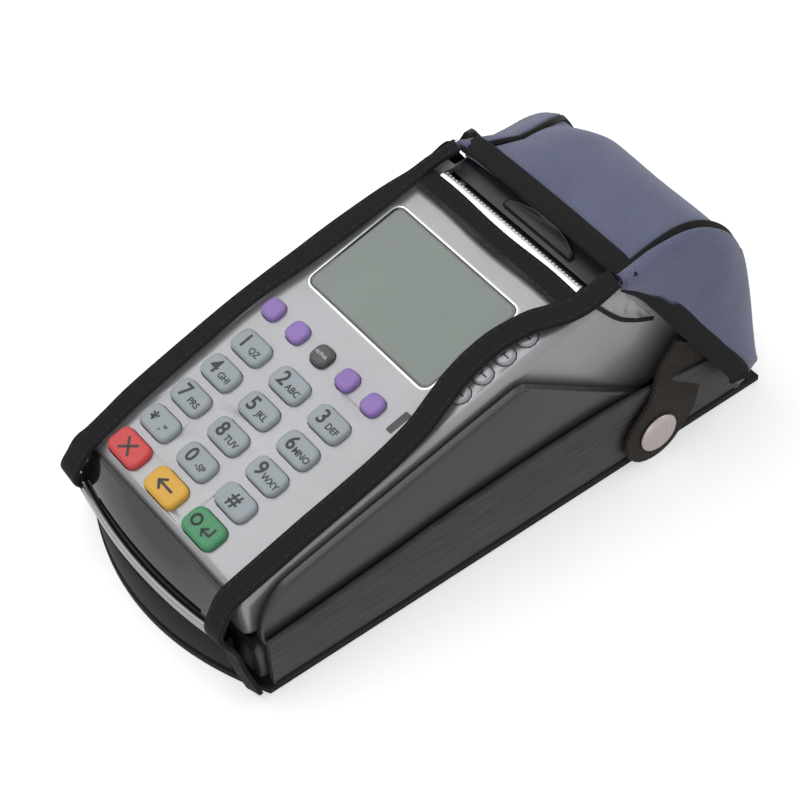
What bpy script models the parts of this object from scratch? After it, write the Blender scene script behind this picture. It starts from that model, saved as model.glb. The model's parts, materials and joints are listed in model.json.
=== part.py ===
"""Countertop card payment terminal in a fitted carry case.

Units in this file are millimetres, turned into metres when a mesh is made. +Z is up, the keypad
faces -Y, and the origin is the middle of the case's underside.
"""
import bpy
import bmesh
from math import sin, cos, asin, pi, sqrt, radians, atan2
from mathutils import Matrix, Vector

MM = 0.001
GAP = 0.35                     # clearance between touching pieces

# --- driving dimensions -------------------------------------------------------------------
FACE_TILT = asin(0.261)        # slope of the keypad face
FACE_Y = -62.0                 # the 7-8-9 key row on the face
FACE_Z = 44.7
FACE_FRONT = -31.9             # along the slope, from the 7-8-9 row
FACE_REAR = 100.0
WALL = 2.2                     # casing wall
CASING_LEFT = -46.2            # at the seam with the lower casing
LEFT_DRAFT = 0.095             # the left side leans inwards going up
CASING_RIGHT = 41.3
CASING_REAR = 98.5
SEAM_Z = 19.3                  # where upper and lower casing meet
CASING_FLOOR = 3.8
CORNER = 3.2                   # rounding of the upper casing's edges

KEY_X = -7.7                   # middle key column
KEY_PITCH_X = 20.2
KEY_PITCH_S = 12.13
KEY_SIZE = (14.2, 8.7)
WIDE_KEY_SIZE = (14.9, 9.4)    # the bottom row
KEY_CORNER = 2.9
KEY_PROUD = 1.95
KEY_DEPTH = 4.0                # below the face
KEY_TRAVEL = 1.2
FUNCTION_KEY = 7.2
FUNCTION_PITCH = 12.8
FUNCTION_S = 37.8
SOFT_KEY = 6.7
SOFT_X = 34.1
SOFT_PLACES = (58.6, 67.6, 76.5, 85.2)
SOFT_PROUD = 1.0

WINDOW = (-34.7, 24.7, 52.2, 89.8)     # display window: x from, x to, slope from, slope to
LENS_THICK = 1.7

SLOT_WIDTH = 2.1               # magnetic swipe slot
SWIPE_THICK = 3.1
CARD_WIDTH = 55.5
CARD_SLOT = 1.6
CARD_Z = 24.5
CARD_X = -1.0

PAPER_X = 0.75                 # middle of the paper path
PAPER_WIDTH = 57.0
ROLL_RADIUS = 17.0
ROLL_CORE = 6.5
ROLL_CENTRE = (71.0, 50.0)
BAY_HALF = 34.25               # half the width of the printer opening
TEAR_S = 108.6
TEAR_HALF = 33.1
TEAR_TEETH = 32
COVER_THICK = 2.2
COVER_HINGE = (92.0, 46.0)
PIN_RADIUS = 1.4
SIDE_PLATE = 1.7               # printer frame side plates
BOARD_MARGIN = 2.3             # circuit board to casing wall
PLATEN = (48.4, 64.7)
HEAD_SPACE = 0.6               # print head to platen, room for the paper
PLATEN_RADIUS = 4.4
SHAFT_RADIUS = 1.5
GEAR_MODULE = 0.65
PLATEN_TEETH = 15
MOTOR_TEETH = 19
GEAR_SPACE = 0.2               # extra centre distance, for backlash

CASE_FIT = 0.9                 # between the case and what it holds
CASE_FRONT = -104.5
CASE_BEHIND = 7.5              # floor of the case behind the casing
CASE_BOW = 13.0                # how far the front edge bows out
PANEL = 2.0                    # case panels
CASE_LEFT = CASING_LEFT - CASE_FIT - PANEL
CASE_RIGHT = CASING_RIGHT + SLOT_WIDTH + SWIPE_THICK + CASE_FIT + PANEL
CASE_REAR = CASING_REAR + CASE_BEHIND
BASE_THICK = 3.2
TAPE_THICK = 1.5
TAPE_WIDTH = 8.4
TAPE_LOW = 1.4                 # tape's underside above the face
FILM_LOW = 2.35
FILM_THICK = 0.4

HOOD_WALL = 2.2
HOOD_HINGE = (CASING_REAR + 0.8, 8.6)
HOOD_FLARE = 4.3               # lower corners outside the case
HOOD_LOW_X = (CASE_LEFT - HOOD_FLARE, CASE_RIGHT + HOOD_FLARE)
HOOD_LOW_Z = 22.0
HOOD_LEFT = ((66.0, CASING_LEFT + 1.2), (84.0, CASING_LEFT + 17.2))       # (z, x), slumped shoulder
HOOD_RIGHT = ((77.0, CASING_RIGHT + 1.7), (84.0, CASING_RIGHT + 0.3))     # (z, x), upright shoulder
HOOD_RISE = 83.4
STRAP_WIDTH = 25.0
STRAP_THICK = 1.5
SNAP_RADIUS = 7.2
SNAP_THICK = 1.8
SNAP_PLACE = (CASING_REAR - 40.0, 12.4)
STRAP_END = (CASING_REAR - 17.5, 38.5)     # where the strap points to on the hood

OBJECT_NAME = "card_payment_terminal"

# --- scene --------------------------------------------------------------------------------
for old in list(bpy.data.objects):
    bpy.data.objects.remove(old, do_unlink=True)
parts = bpy.data.collections.new(OBJECT_NAME)
cutters = bpy.data.collections.new(OBJECT_NAME + "_cutters")
bpy.context.scene.collection.children.link(parts)
bpy.context.scene.collection.children.link(cutters)


def make_material(name, colour, roughness, metallic=0.0):
    material = bpy.data.materials.new(name)
    material.use_nodes = True
    shader = material.node_tree.nodes["Principled BSDF"]
    shader.inputs["Base Color"].default_value = (*colour, 1.0)
    shader.inputs["Roughness"].default_value = roughness
    shader.inputs["Metallic"].default_value = metallic
    return material


SILVER = make_material("silver_plastic", (0.40, 0.40, 0.42), 0.35, 0.6)
DARK = make_material("dark_plastic", (0.06, 0.06, 0.065), 0.45)
GLOSS = make_material("gloss_black", (0.012, 0.012, 0.014), 0.12)
KEY_GREY = make_material("key_grey", (0.42, 0.46, 0.48), 0.5)
KEY_RED = make_material("key_red", (0.80, 0.05, 0.05), 0.5)
KEY_YELLOW = make_material("key_yellow", (0.90, 0.50, 0.03), 0.5)
KEY_GREEN = make_material("key_green", (0.06, 0.30, 0.13), 0.5)
KEY_PURPLE = make_material("key_purple", (0.36, 0.21, 0.60), 0.5)
LENS = make_material("display_lens", (0.16, 0.22, 0.18), 0.15)
METAL = make_material("steel", (0.55, 0.55, 0.56), 0.3, 1.0)
BOARD = make_material("circuit_board", (0.02, 0.15, 0.05), 0.5)
RUBBER = make_material("rubber", (0.03, 0.03, 0.03), 0.8)
PAPER = make_material("paper", (0.85, 0.85, 0.83), 0.9)
NYLON = make_material("white_nylon", (0.75, 0.74, 0.70), 0.5)
FABRIC = make_material("case_fabric", (0.05, 0.05, 0.055), 0.8)
TAPE = make_material("binding_tape", (0.012, 0.012, 0.014), 0.85)
FILM = make_material("clear_film", (0.8, 0.82, 0.84), 0.1)
HOOD_CLOTH = make_material("hood_cloth", (0.13, 0.14, 0.21), 0.85)
WEBBING = make_material("webbing", (0.03, 0.025, 0.02), 0.85)
NICKEL = make_material("brushed_nickel", (0.40, 0.35, 0.34), 0.35, 1.0)


# --- tools --------------------------------------------------------------------------------
def face_point(x, s, h=0.0):
    """A point on the keypad face: x across, s up the slope, h above the face."""
    return Vector((x, FACE_Y + s * cos(FACE_TILT) - h * sin(FACE_TILT),
                   FACE_Z + s * sin(FACE_TILT) + h * cos(FACE_TILT)))


def face_matrix(x, s, h=0.0):
    return Matrix.Translation(face_point(x, s, h) * MM) @ Matrix.Rotation(FACE_TILT, 4, "X")


def add_object(name, mesh, material, place=None):
    obj = bpy.data.objects.new(name, mesh)
    mesh.materials.append(material)
    parts.objects.link(obj)
    if place is not None:
        obj.matrix_world = place
    return obj


def shade(mesh, angle=35):
    mesh.shade_smooth()
    mesh.set_sharp_from_angle(angle=radians(angle))


def loft(name, rings, material, place=None):
    """Closed body through rings of equal point counts, capped at both ends."""
    bm = bmesh.new()
    loops = [[bm.verts.new(Vector(p) * MM) for p in ring] for ring in rings]
    count = len(loops[0])
    for low, high in zip(loops, loops[1:]):
        for i in range(count):
            j = (i + 1) % count
            bm.faces.new((low[i], low[j], high[j], high[i]))
    bm.faces.new(loops[0])
    bm.faces.new(loops[-1])
    bmesh.ops.recalc_face_normals(bm, faces=bm.faces)
    mesh = bpy.data.meshes.new(name)
    bm.to_mesh(mesh)
    bm.free()
    shade(mesh)
    return add_object(name, mesh, material, place)


def box(name, low, high, material, bevel=0.0, place=None):
    bm = bmesh.new()
    bmesh.ops.create_cube(bm, size=1.0)
    size = [(b - a) * MM for a, b in zip(low, high)]
    middle = [(a + b) / 2 * MM for a, b in zip(low, high)]
    bmesh.ops.scale(bm, vec=size, verts=bm.verts)
    bmesh.ops.translate(bm, vec=middle, verts=bm.verts)
    mesh = bpy.data.meshes.new(name)
    bm.to_mesh(mesh)
    bm.free()
    obj = add_object(name, mesh, material, place)
    if bevel:
        round_edges(obj, bevel)
    return obj


def round_edges(obj, width, segments=2):
    bevel = obj.modifiers.new("rounding", "BEVEL")
    bevel.width = width * MM
    bevel.segments = segments
    bevel.limit_method = "ANGLE"
    bevel.angle_limit = radians(40)


AXES = {
    "X": Matrix(((0, 0, 1, 0), (1, 0, 0, 0), (0, 1, 0, 0), (0, 0, 0, 1))),
    "Y": Matrix(((0, 1, 0, 0), (0, 0, 1, 0), (1, 0, 0, 0), (0, 0, 0, 1))),
    "Z": Matrix.Identity(4),
}


def prism(name, outline, axis, start, end, material, holes=(), place=None):
    """A flat outline pushed along an axis. Outlines are (y, z) for X, (z, x) for Y, (x, y) for Z."""
    curve = bpy.data.curves.new(name, "CURVE")
    curve.dimensions = "2D"
    curve.fill_mode = "BOTH"
    curve.extrude = (end - start) / 2 * MM
    for points in (outline, *holes):
        spline = curve.splines.new("POLY")
        spline.points.add(len(points) - 1)
        for point, (u, v) in zip(spline.points, points):
            point.co = (u * MM, v * MM, 0, 1)
        spline.use_cyclic_u = True
    flat = bpy.data.objects.new(name + "_outline", curve)
    bpy.context.scene.collection.objects.link(flat)
    graph = bpy.context.evaluated_depsgraph_get()
    mesh = bpy.data.meshes.new_from_object(flat.evaluated_get(graph))
    bpy.data.objects.remove(flat, do_unlink=True)
    bpy.data.curves.remove(curve)
    mesh.name = name
    bm = bmesh.new()
    bm.from_mesh(mesh)
    bmesh.ops.remove_doubles(bm, verts=bm.verts, dist=1e-6)
    bmesh.ops.translate(bm, vec=(0, 0, (start + end) / 2 * MM), verts=bm.verts)
    bmesh.ops.transform(bm, matrix=AXES[axis], verts=bm.verts)
    bmesh.ops.recalc_face_normals(bm, faces=bm.faces)
    bm.to_mesh(mesh)
    bm.free()
    mesh.materials.clear()
    shade(mesh)
    return add_object(name, mesh, material, place)


def circle(centre, radius, count=24):
    return [(centre[0] + radius * cos(2 * pi * i / count), centre[1] + radius * sin(2 * pi * i / count))
            for i in range(count)]


def as_cutter(obj):
    parts.objects.unlink(obj)
    cutters.objects.link(obj)
    obj.hide_render = True
    obj.display_type = "WIRE"
    return obj


def boolean(obj, other, operation="DIFFERENCE"):
    modifier = obj.modifiers.new(other.name, "BOOLEAN")
    modifier.operation = operation
    modifier.object = as_cutter(other)
    modifier.solver = "EXACT"


def rounded_rect(width, depth, radius, segments=3):
    points = []
    for turn, (sx, sy) in enumerate(((1, 1), (-1, 1), (-1, -1), (1, -1))):
        cx, cy = sx * (width / 2 - radius), sy * (depth / 2 - radius)
        for i in range(segments + 1):
            angle = turn * pi / 2 + i * pi / 2 / segments
            points.append((cx + radius * cos(angle), cy + radius * sin(angle)))
    return points


def offset_path(path, distance):
    """The path moved sideways to its right by a distance."""
    moved = []
    for i, (u, v) in enumerate(path):
        before, after = path[max(i - 1, 0)], path[min(i + 1, len(path) - 1)]
        du, dv = after[0] - before[0], after[1] - before[1]
        length = sqrt(du * du + dv * dv)
        moved.append((u + distance * dv / length, v - distance * du / length))
    return moved


# --- casings ------------------------------------------------------------------------------
def casing_outline(inset):
    """Side view of the upper casing, as (y, z) from front bottom round to rear bottom."""
    front = face_point(0, FACE_FRONT)
    band = face_point(0, TEAR_S)
    outer = [(front.y, SEAM_Z), (front.y, front.z), (band.y, band.z), (66.0, 70.0), (78.0, 66.0),
             (88.0, 58.5), (CASING_REAR - 0.6, 47.0), (CASING_REAR, 34.0), (CASING_REAR, SEAM_Z)]
    if not inset:
        return outer
    inner = offset_path(outer, inset)
    corner = face_point(0, FACE_FRONT + inset, -inset)
    inner[0] = (front.y + inset, SEAM_Z - 5)
    inner[1] = (front.y + inset, corner.z)
    inner[-1] = (CASING_REAR - inset, SEAM_Z - 5)
    return inner


upper = prism("upper_casing", casing_outline(0), "X", CASING_LEFT, CASING_RIGHT, SILVER)


def side_draft(name, inset):
    """What the leaning left side leaves out, as (z, x)."""
    top = 100.0
    outline = [(-10, -80), (top, -80), (top, CASING_LEFT + inset + (top - SEAM_Z) * LEFT_DRAFT),
               (SEAM_Z, CASING_LEFT + inset), (-10, CASING_LEFT + inset)]
    return prism(name, outline, "Y", -130, 130, SILVER)


hollow = prism("casing_hollow", casing_outline(WALL), "X", CASING_LEFT, CASING_RIGHT - WALL, SILVER)
boolean(hollow, side_draft("hollow_draft", WALL))
boolean(upper, side_draft("casing_draft", 0))
round_edges(upper, CORNER, 3)
upper.modifiers["rounding"].angle_limit = radians(60)
boolean(upper, hollow)
bottom = SEAM_Z + GAP
boolean(upper, box("seam_trim", (CASING_LEFT - 5, -120, SEAM_Z - 10), (CASING_RIGHT + 5, 120, bottom),
                   SILVER))

BAY = (PAPER_X - BAY_HALF, PAPER_X + BAY_HALF)
band_front = face_point(0, FACE_REAR)
boolean(upper, box("band_opening", (BAY[0], 0, -8), (BAY[1], 30, 12), SILVER,
                   place=face_matrix(0, FACE_REAR)))
boolean(upper, box("bay_opening", (BAY[0], band_front.y + 8, 45.5), (BAY[1], 120, 95), SILVER))


# --- keys ---------------------------------------------------------------------------------
def key(name, x, s, size, corner, proud, material):
    """A key cap with its origin on the face, travelling along its own Z."""
    rings = []
    for height, inset in ((-KEY_DEPTH, 0), (proud - 0.7, 0), (proud - 0.2, 0.3), (proud, 0.9)):
        ring = rounded_rect(size[0] - 2 * inset, size[1] - 2 * inset, corner - inset * 0.8)
        rings.append([(px, py, height) for px, py in ring])
    return loft(name, rings, material, face_matrix(x, s))


key_places = []
names = (("1", "2", "3"), ("4", "5", "6"), ("7", "8", "9"), ("star", "0", "hash"),
         ("cancel", "clear", "enter"))
last_row = {"cancel": KEY_RED, "clear": KEY_YELLOW, "enter": KEY_GREEN}
for row, row_names in enumerate(names):
    for column, label in enumerate(row_names):
        size = WIDE_KEY_SIZE if label in last_row else KEY_SIZE
        place = (KEY_X + (column - 1) * KEY_PITCH_X, -(row - 2) * KEY_PITCH_S)
        key("key_" + label, *place, size, KEY_CORNER, KEY_PROUD, last_row.get(label, KEY_GREY))
        key_places.append((place, size, KEY_CORNER))
for i in range(5):
    place = (KEY_X - 0.6 + (i - 2) * FUNCTION_PITCH, FUNCTION_S)
    size = (FUNCTION_KEY, FUNCTION_KEY)
    key(f"function_key_{i + 1}", *place, size, FUNCTION_KEY * 0.36, KEY_PROUD,
        DARK if i == 2 else KEY_PURPLE)
    key_places.append((place, size, FUNCTION_KEY * 0.36))
for i, s in enumerate(SOFT_PLACES):
    size = (SOFT_KEY, SOFT_KEY)
    key(f"soft_key_{i + 1}", SOFT_X, s, size, SOFT_KEY / 2 - 0.01, SOFT_PROUD, SILVER)
    key_places.append(((SOFT_X, s), size, SOFT_KEY / 2 - 0.01))

for i, (place, size, corner) in enumerate(key_places):
    hole = [(size[0] + 2 * GAP), (size[1] + 2 * GAP)]
    rings = [[(px, py, h) for px, py in rounded_rect(*hole, corner + GAP)] for h in (-4, 4)]
    boolean(upper, loft(f"key_hole_{i + 1}", rings, DARK, face_matrix(*place)))

# --- display ------------------------------------------------------------------------------
window_middle = ((WINDOW[0] + WINDOW[1]) / 2, (WINDOW[2] + WINDOW[3]) / 2)
window_size = (WINDOW[1] - WINDOW[0], WINDOW[3] - WINDOW[2])


def display_plate(name, grow, low, high, material):
    ring = rounded_rect(window_size[0] + 2 * grow, window_size[1] + 2 * grow, 2.6 + grow)
    rings = [[(px, py, h) for px, py in ring] for h in (low, high)]
    return loft(name, rings, material, face_matrix(*window_middle))


boolean(upper, display_plate("window_opening", GAP, -6, 6, SILVER))
display_plate("display_lens", 0, -LENS_THICK, 0, LENS)
lcd_top = -max(LENS_THICK, WALL) - GAP
box("lcd_module", (-window_size[0] / 2 - 1.5, -window_size[1] / 2 - 1.5, lcd_top - 2.9),
    (window_size[0] / 2 + 1.5, window_size[1] / 2 + 1.5, lcd_top), BOARD,
    place=face_matrix(*window_middle))

# --- keypad mat and main board ------------------------------------------------------------
mat_top = -KEY_DEPTH - KEY_TRAVEL - 0.4
box("keypad_mat", (-38.0, FACE_FRONT + 4.4, mat_top - 1.0), (CASING_RIGHT - WALL - 3.1, 43.0, mat_top), RUBBER,
    place=face_matrix(0, 0))
board_top = mat_top - 1.0 - GAP
box("main_board", (-38.8, FACE_FRONT + 4.4, board_top - 1.6),
    (CASING_RIGHT - WALL - BOARD_MARGIN, 92.0, board_top), BOARD,
    place=face_matrix(0, 0))

# --- lower casing and swipe wall ----------------------------------------------------------
wall_right = CASING_RIGHT + SLOT_WIDTH + SWIPE_THICK
front_y = face_point(0, FACE_FRONT).y
lower = box("lower_casing", (CASING_LEFT, front_y, CASING_FLOOR), (wall_right, CASING_REAR, SEAM_Z),
            DARK)
round_edges(lower, 2.4, 2)
boolean(lower, box("lower_hollow", (CASING_LEFT + WALL, front_y + WALL, CASING_FLOOR + WALL),
                   (CASING_RIGHT - WALL, CASING_REAR - WALL, SEAM_Z + 10), DARK))

SWIPE_OUTLINE = [(-89.5, SEAM_Z + GAP), (-89.8, 25.0), (-87.5, 32.5), (-80.5, 39.3), (-70.6, 42.4),
                 (9.0, 61.6), (40.7, 38.4), (59.0, 25.9), (60.0, SEAM_Z + GAP)]
prism("swipe_wall", SWIPE_OUTLINE, "X", CASING_RIGHT + SLOT_WIDTH, wall_right - 0.3, DARK)
HEAD_Y = (-22.0, -9.0)
HEAD_Z = (25.0, 34.0)
boolean(upper, box("head_window", (30, HEAD_Y[0] - 0.5, HEAD_Z[0] - 0.5),
                   (50, HEAD_Y[1] + 0.5, HEAD_Z[1] + 0.5), DARK))
box("mag_read_head", (CASING_RIGHT - 5.0, HEAD_Y[0], HEAD_Z[0]),
    (CASING_RIGHT + 1.0, HEAD_Y[1], HEAD_Z[1]), METAL, 0.9)


# --- front chin with the chip card slot ---------------------------------------------------
def bow(x, depth, half):
    """How far a bowed front stands forward at x."""
    return depth * (1 - ((x - CARD_X) / half) ** 2)


chin_top = face_point(0, FACE_FRONT).z
CHIN_STEPS = 6
chin_rings = []
for i in range(13):
    x = CASING_LEFT + 3.2 + (CASING_RIGHT - CASING_LEFT - 6.4) * i / 12
    back = front_y - GAP
    ring = [(x, back, SEAM_Z + GAP), (x, back, chin_top - 1.6)]
    for j in range(CHIN_STEPS + 1):
        fall = j / CHIN_STEPS
        forward = 1.0 + bow(x, 7.6, 50) * sin(fall * pi / 2)
        ring.append((x, back - forward, chin_top - 1.6 - fall * (chin_top - 1.6 - SEAM_Z - GAP)))
    chin_rings.append(ring)
chin = loft("front_chin", chin_rings, GLOSS)
card_slot = ((CARD_X - CARD_WIDTH / 2, -115, CARD_Z - CARD_SLOT / 2),
             (CARD_X + CARD_WIDTH / 2, front_y + 8, CARD_Z + CARD_SLOT / 2))
boolean(chin, box("chin_card_slot", *card_slot, GLOSS))
boolean(upper, box("casing_card_slot", *card_slot, GLOSS))
reader_front = front_y + WALL + GAP
reader = box("chip_card_reader", (CARD_X - 31, reader_front, CARD_Z - 3.4),
             (CARD_X + 31, reader_front + 48, CARD_Z + 3.4), DARK)
boolean(reader, box("reader_slot", (CARD_X - CARD_WIDTH / 2, -115, CARD_Z - CARD_SLOT / 2),
                    (CARD_X + CARD_WIDTH / 2, reader_front + 44, CARD_Z + CARD_SLOT / 2), DARK))

# --- printer ------------------------------------------------------------------------------
box("printer_bezel", (BAY[0] + GAP, GAP, -WALL), (BAY[1] - GAP, TEAR_S - FACE_REAR - 1.2, 0.5), GLOSS,
    0.3, face_matrix(0, FACE_REAR))
teeth = [(PAPER_X - TEAR_HALF, -3.2), (PAPER_X - TEAR_HALF, 0.0)]
pitch = 2 * TEAR_HALF / TEAR_TEETH
for i in range(TEAR_TEETH):
    left = PAPER_X - TEAR_HALF + i * pitch
    teeth += [(left + pitch / 2, 1.1), (left + pitch, 0.0)]
teeth.append((PAPER_X + TEAR_HALF, -3.2))
prism("tear_bar", teeth, "Z", 0.85, 1.5, METAL, place=face_matrix(0, TEAR_S - 1.1))

plate_right = CASING_RIGHT - WALL - 0.8
SIDE_PLATES = ((-39.6, -39.6 + SIDE_PLATE), (plate_right - SIDE_PLATE, plate_right))
PLATE_OUTLINE = [(36.5, 22.4), (95.6, 22.4), (95.6, 42.0), (93.6, 47.9), (90.0, 49.2), (80.0, 44.0),
                 (60.0, 44.0), (54.0, 60.0), (36.5, 60.0)]
pin_hole = [circle(COVER_HINGE, PIN_RADIUS + GAP, 16)]
frame = box("printer_frame", (SIDE_PLATES[0][0], 37.0, 22.0), (SIDE_PLATES[1][1], 95.5, 23.6), METAL)
for i, (start, end) in enumerate(SIDE_PLATES):
    boolean(frame, prism(f"side_plate_{i}", PLATE_OUTLINE, "X", start, end, METAL, pin_hole), "UNION")
prism("cover_hinge_pin", circle(COVER_HINGE, PIN_RADIUS, 16), "X", SIDE_PLATES[0][0] - 1.0,
      plate_right + 0.3, METAL)
head_face = PLATEN[0] - PLATEN_RADIUS - HEAD_SPACE
box("print_head", (PAPER_X - 29, head_face - 4.4, 62.4), (PAPER_X + 29, head_face, 69.0), DARK, 0.4)

COVER_EDGES = (BAY[0] + GAP, BAY[1] - GAP)
COVER_PATH = [(45.2, 72.0), (50.0, 73.3), (58.0, 74.0), (66.0, 74.0), (74.0, 72.6), (81.0, 69.4),
              (87.0, 64.0), (91.3, 57.2), (93.2, 51.0)]
inner_path = offset_path(COVER_PATH, COVER_THICK)
cover = prism("printer_cover", COVER_PATH + inner_path[::-1], "X", *COVER_EDGES, DARK)
LUG = 2.0
KNUCKLE = 5.0
shaft_hole = [circle(PLATEN, SHAFT_RADIUS + GAP, 16)]
lug_outline = [(PLATEN[0] - 3.0, PLATEN[1] - 3.6), (PLATEN[0] + 4.0, PLATEN[1] - 3.6), (62.0, 69.5),
               (62.0, 73.0), (51.0, 72.6), (46.2, 71.4)]
knuckle = [(88.9, 60.0), (88.9, 45.0), (90.5, 43.1), (93.5, 43.1), (94.6, 45.0), (93.0, 50.5),
           (90.5, 58.4)]
for i, (edge, inward) in enumerate(zip(COVER_EDGES, (1, -1))):
    lug_x = sorted((edge, edge + inward * LUG))
    knuckle_x = sorted((edge, edge + inward * KNUCKLE))
    boolean(cover, prism(f"cover_lug_{i}", lug_outline, "X", *lug_x, DARK, shaft_hole), "UNION")
    boolean(cover, prism(f"cover_knuckle_{i}", knuckle, "X", *knuckle_x, DARK, pin_hole), "UNION")

prism("platen_roller", circle(PLATEN, PLATEN_RADIUS, 24), "X", PAPER_X - 29, PAPER_X + 29, RUBBER)
platen = bpy.data.objects["platen_roller"]
boolean(platen, prism("platen_shaft", circle(PLATEN, SHAFT_RADIUS, 16), "X", PAPER_X - 33.8, PAPER_X + 33.8,
                      METAL), "UNION")


def gear_outline(centre, teeth_count, turn):
    """Teeth with straight flanks; turn is the angle of the first tooth."""
    radius = teeth_count * GEAR_MODULE / 2
    step = 2 * pi / teeth_count
    flanks = ((radius - 0.65, -0.26), (radius + 0.35, -0.1), (radius + 0.35, 0.1), (radius - 0.65, 0.26))
    points = []
    for i in range(teeth_count):
        for r, share in flanks:
            angle = turn + (i + share) * step
            points.append((centre[0] + r * cos(angle), centre[1] + r * sin(angle)))
    return points


lift = atan2(COVER_HINGE[0] - PLATEN[0], PLATEN[1] - COVER_HINGE[1])
apart = (PLATEN_TEETH + MOTOR_TEETH) * GEAR_MODULE / 2 + GEAR_SPACE
to_motor = lift + pi
MOTOR_AXIS = (PLATEN[0] + apart * cos(to_motor), PLATEN[1] + apart * sin(to_motor))
GEAR_X = (PAPER_X - 31.6, PAPER_X - 29.3)
prism("platen_gear", gear_outline(PLATEN, PLATEN_TEETH, to_motor), "X", *GEAR_X, NYLON,
      [circle(PLATEN, SHAFT_RADIUS + GAP, 16)])
prism("motor_gear", gear_outline(MOTOR_AXIS, MOTOR_TEETH, lift + pi / MOTOR_TEETH), "X", *GEAR_X, NYLON,
      [circle(MOTOR_AXIS, 1.0 + GAP, 12)])
motor = prism("feed_motor", circle(MOTOR_AXIS, 6.0, 20), "X", GEAR_X[1] + 1.0, GEAR_X[1] + 19.0, METAL)
boolean(motor, prism("motor_shaft", circle(MOTOR_AXIS, 1.0, 12), "X", GEAR_X[0], GEAR_X[1] + 5.0, METAL),
        "UNION")
prism("paper_roll", circle(ROLL_CENTRE, ROLL_RADIUS, 32), "X", PAPER_X - PAPER_WIDTH / 2,
      PAPER_X + PAPER_WIDTH / 2, PAPER, [circle(ROLL_CENTRE, ROLL_CORE, 20)])

# --- sockets at the rear ------------------------------------------------------------------
SOCKET_Z = (7.2, 17.2)
for name, x, width, depth in (("power_socket", -28.0, 11.0, 12.0), ("line_socket", 12.0, 14.0, 14.0)):
    hole = (x - width / 2 + 2.0, CASING_REAR - depth + 2.0, SOCKET_Z[0] + 2.0)
    socket = box(name, (x - width / 2, CASING_REAR - depth, SOCKET_Z[0]),
                 (x + width / 2, CASING_REAR, SOCKET_Z[1]), DARK)
    boolean(socket, box(name + "_hollow", hole, (x + width / 2 - 2.0, CASING_REAR + 2, SOCKET_Z[1] - 2.0),
                        DARK))
    boolean(lower, box(name + "_opening",
                       (x - width / 2 - GAP, CASING_REAR - 6, SOCKET_Z[0] - GAP),
                       (x + width / 2 + GAP, CASING_REAR + 6, SOCKET_Z[1] + GAP), DARK))


# --- carry case ---------------------------------------------------------------------------
def case_front_edge(x):
    half = (CASE_RIGHT - CASE_LEFT) / 2
    middle = (CASE_RIGHT + CASE_LEFT) / 2
    return CASE_FRONT + CASE_BOW * ((x - middle) / half) ** 2


base_outline = [(CASE_RIGHT, CASE_REAR), (CASE_LEFT, CASE_REAR)]
for i in range(17):
    x = CASE_LEFT + (CASE_RIGHT - CASE_LEFT) * i / 16
    base_outline.append((x, case_front_edge(x)))
prism("case_base", base_outline, "Z", 0, BASE_THICK, FABRIC)

FRONT_X = (-40.0, 37.0)
front_rings = []
for i in range(13):
    x = FRONT_X[0] + (FRONT_X[1] - FRONT_X[0]) * i / 12
    y = case_front_edge(x) + 0.4
    front_rings.append([(x, y, BASE_THICK + GAP), (x, y + PANEL, BASE_THICK + GAP),
                        (x, y + PANEL, SEAM_Z - 0.6), (x, y, SEAM_Z - 0.6)])
loft("case_front", front_rings, FABRIC)

SIDE_TOP = [(-89.8, 23.0), (-45.7, 26.9), (-17.8, 29.8), (34.0, 31.7), (67.6, 28.8), (CASING_REAR - 0.5, 24.0)]
side_outline = [(-89.8, BASE_THICK + GAP)] + SIDE_TOP + [(CASING_REAR - 0.5, BASE_THICK + GAP)]
prism("case_side_right", side_outline, "X", CASE_RIGHT - PANEL, CASE_RIGHT, FABRIC)
prism("case_side_left", side_outline, "X", CASE_LEFT, CASE_LEFT + PANEL, FABRIC)


def ribbon(name, stations, thickness, material):
    """A band through stations of (inner edge, outer edge, upward direction)."""
    rings = []
    for inner, outer, up in stations:
        rise = Vector(up).normalized() * thickness
        inner, outer = Vector(inner), Vector(outer)
        rings.append([inner, outer, outer + rise, inner + rise])
    return loft(name, rings, material)


FACE_UP = face_point(0, 0, 1) - face_point(0, 0)
RIGHT_TAPE = [(112.5, 37.2, 45.6), (106.0, 35.6, 44.0), (99.5, 33.4, 41.8), (93.0, 29.8, 38.2),
              (88.3, 27.4, 35.8), (78.2, 24.9, 33.3), (69.0, 24.7, 33.1), (61.0, 25.7, 34.1),
              (52.0, 28.0, 36.4), (42.2, 30.6, 39.0), (30.0, 32.0, 40.4), (16.8, 32.5, 40.9),
              (-2.5, 32.6, 41.0), (-20.0, 33.0, 41.4), (-31.0, 33.2, 41.6)]
LEFT_TAPE = [(112.5, -34.6, -39.0), (106.0, -35.2, -39.9), (99.5, -35.4, -41.2), (88.3, -35.6, -43.2),
             (70.0, -36.2, -44.9), (55.0, -37.4, -45.6), (46.0, -38.4, -46.1), (37.8, -39.2, -46.4),
             (26.4, -39.4, -46.6), (3.4, -38.4, -46.1), (-12.0, -37.6, -45.4), (-21.0, -36.6, -44.3),
             (-31.0, -35.6, -43.2)]     # (slope, inner edge, outer edge)
FRONT_DROP = ((1.0, 37.2, 0.0), (4.5, 33.0, 0.3), (8.2, 24.0, 1.0), (11.3, 15.0, 3.0), (11.8, 8.0, 5.6),
              (11.2, 1.2, 8.6))    # forward, height, spread outwards


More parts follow.
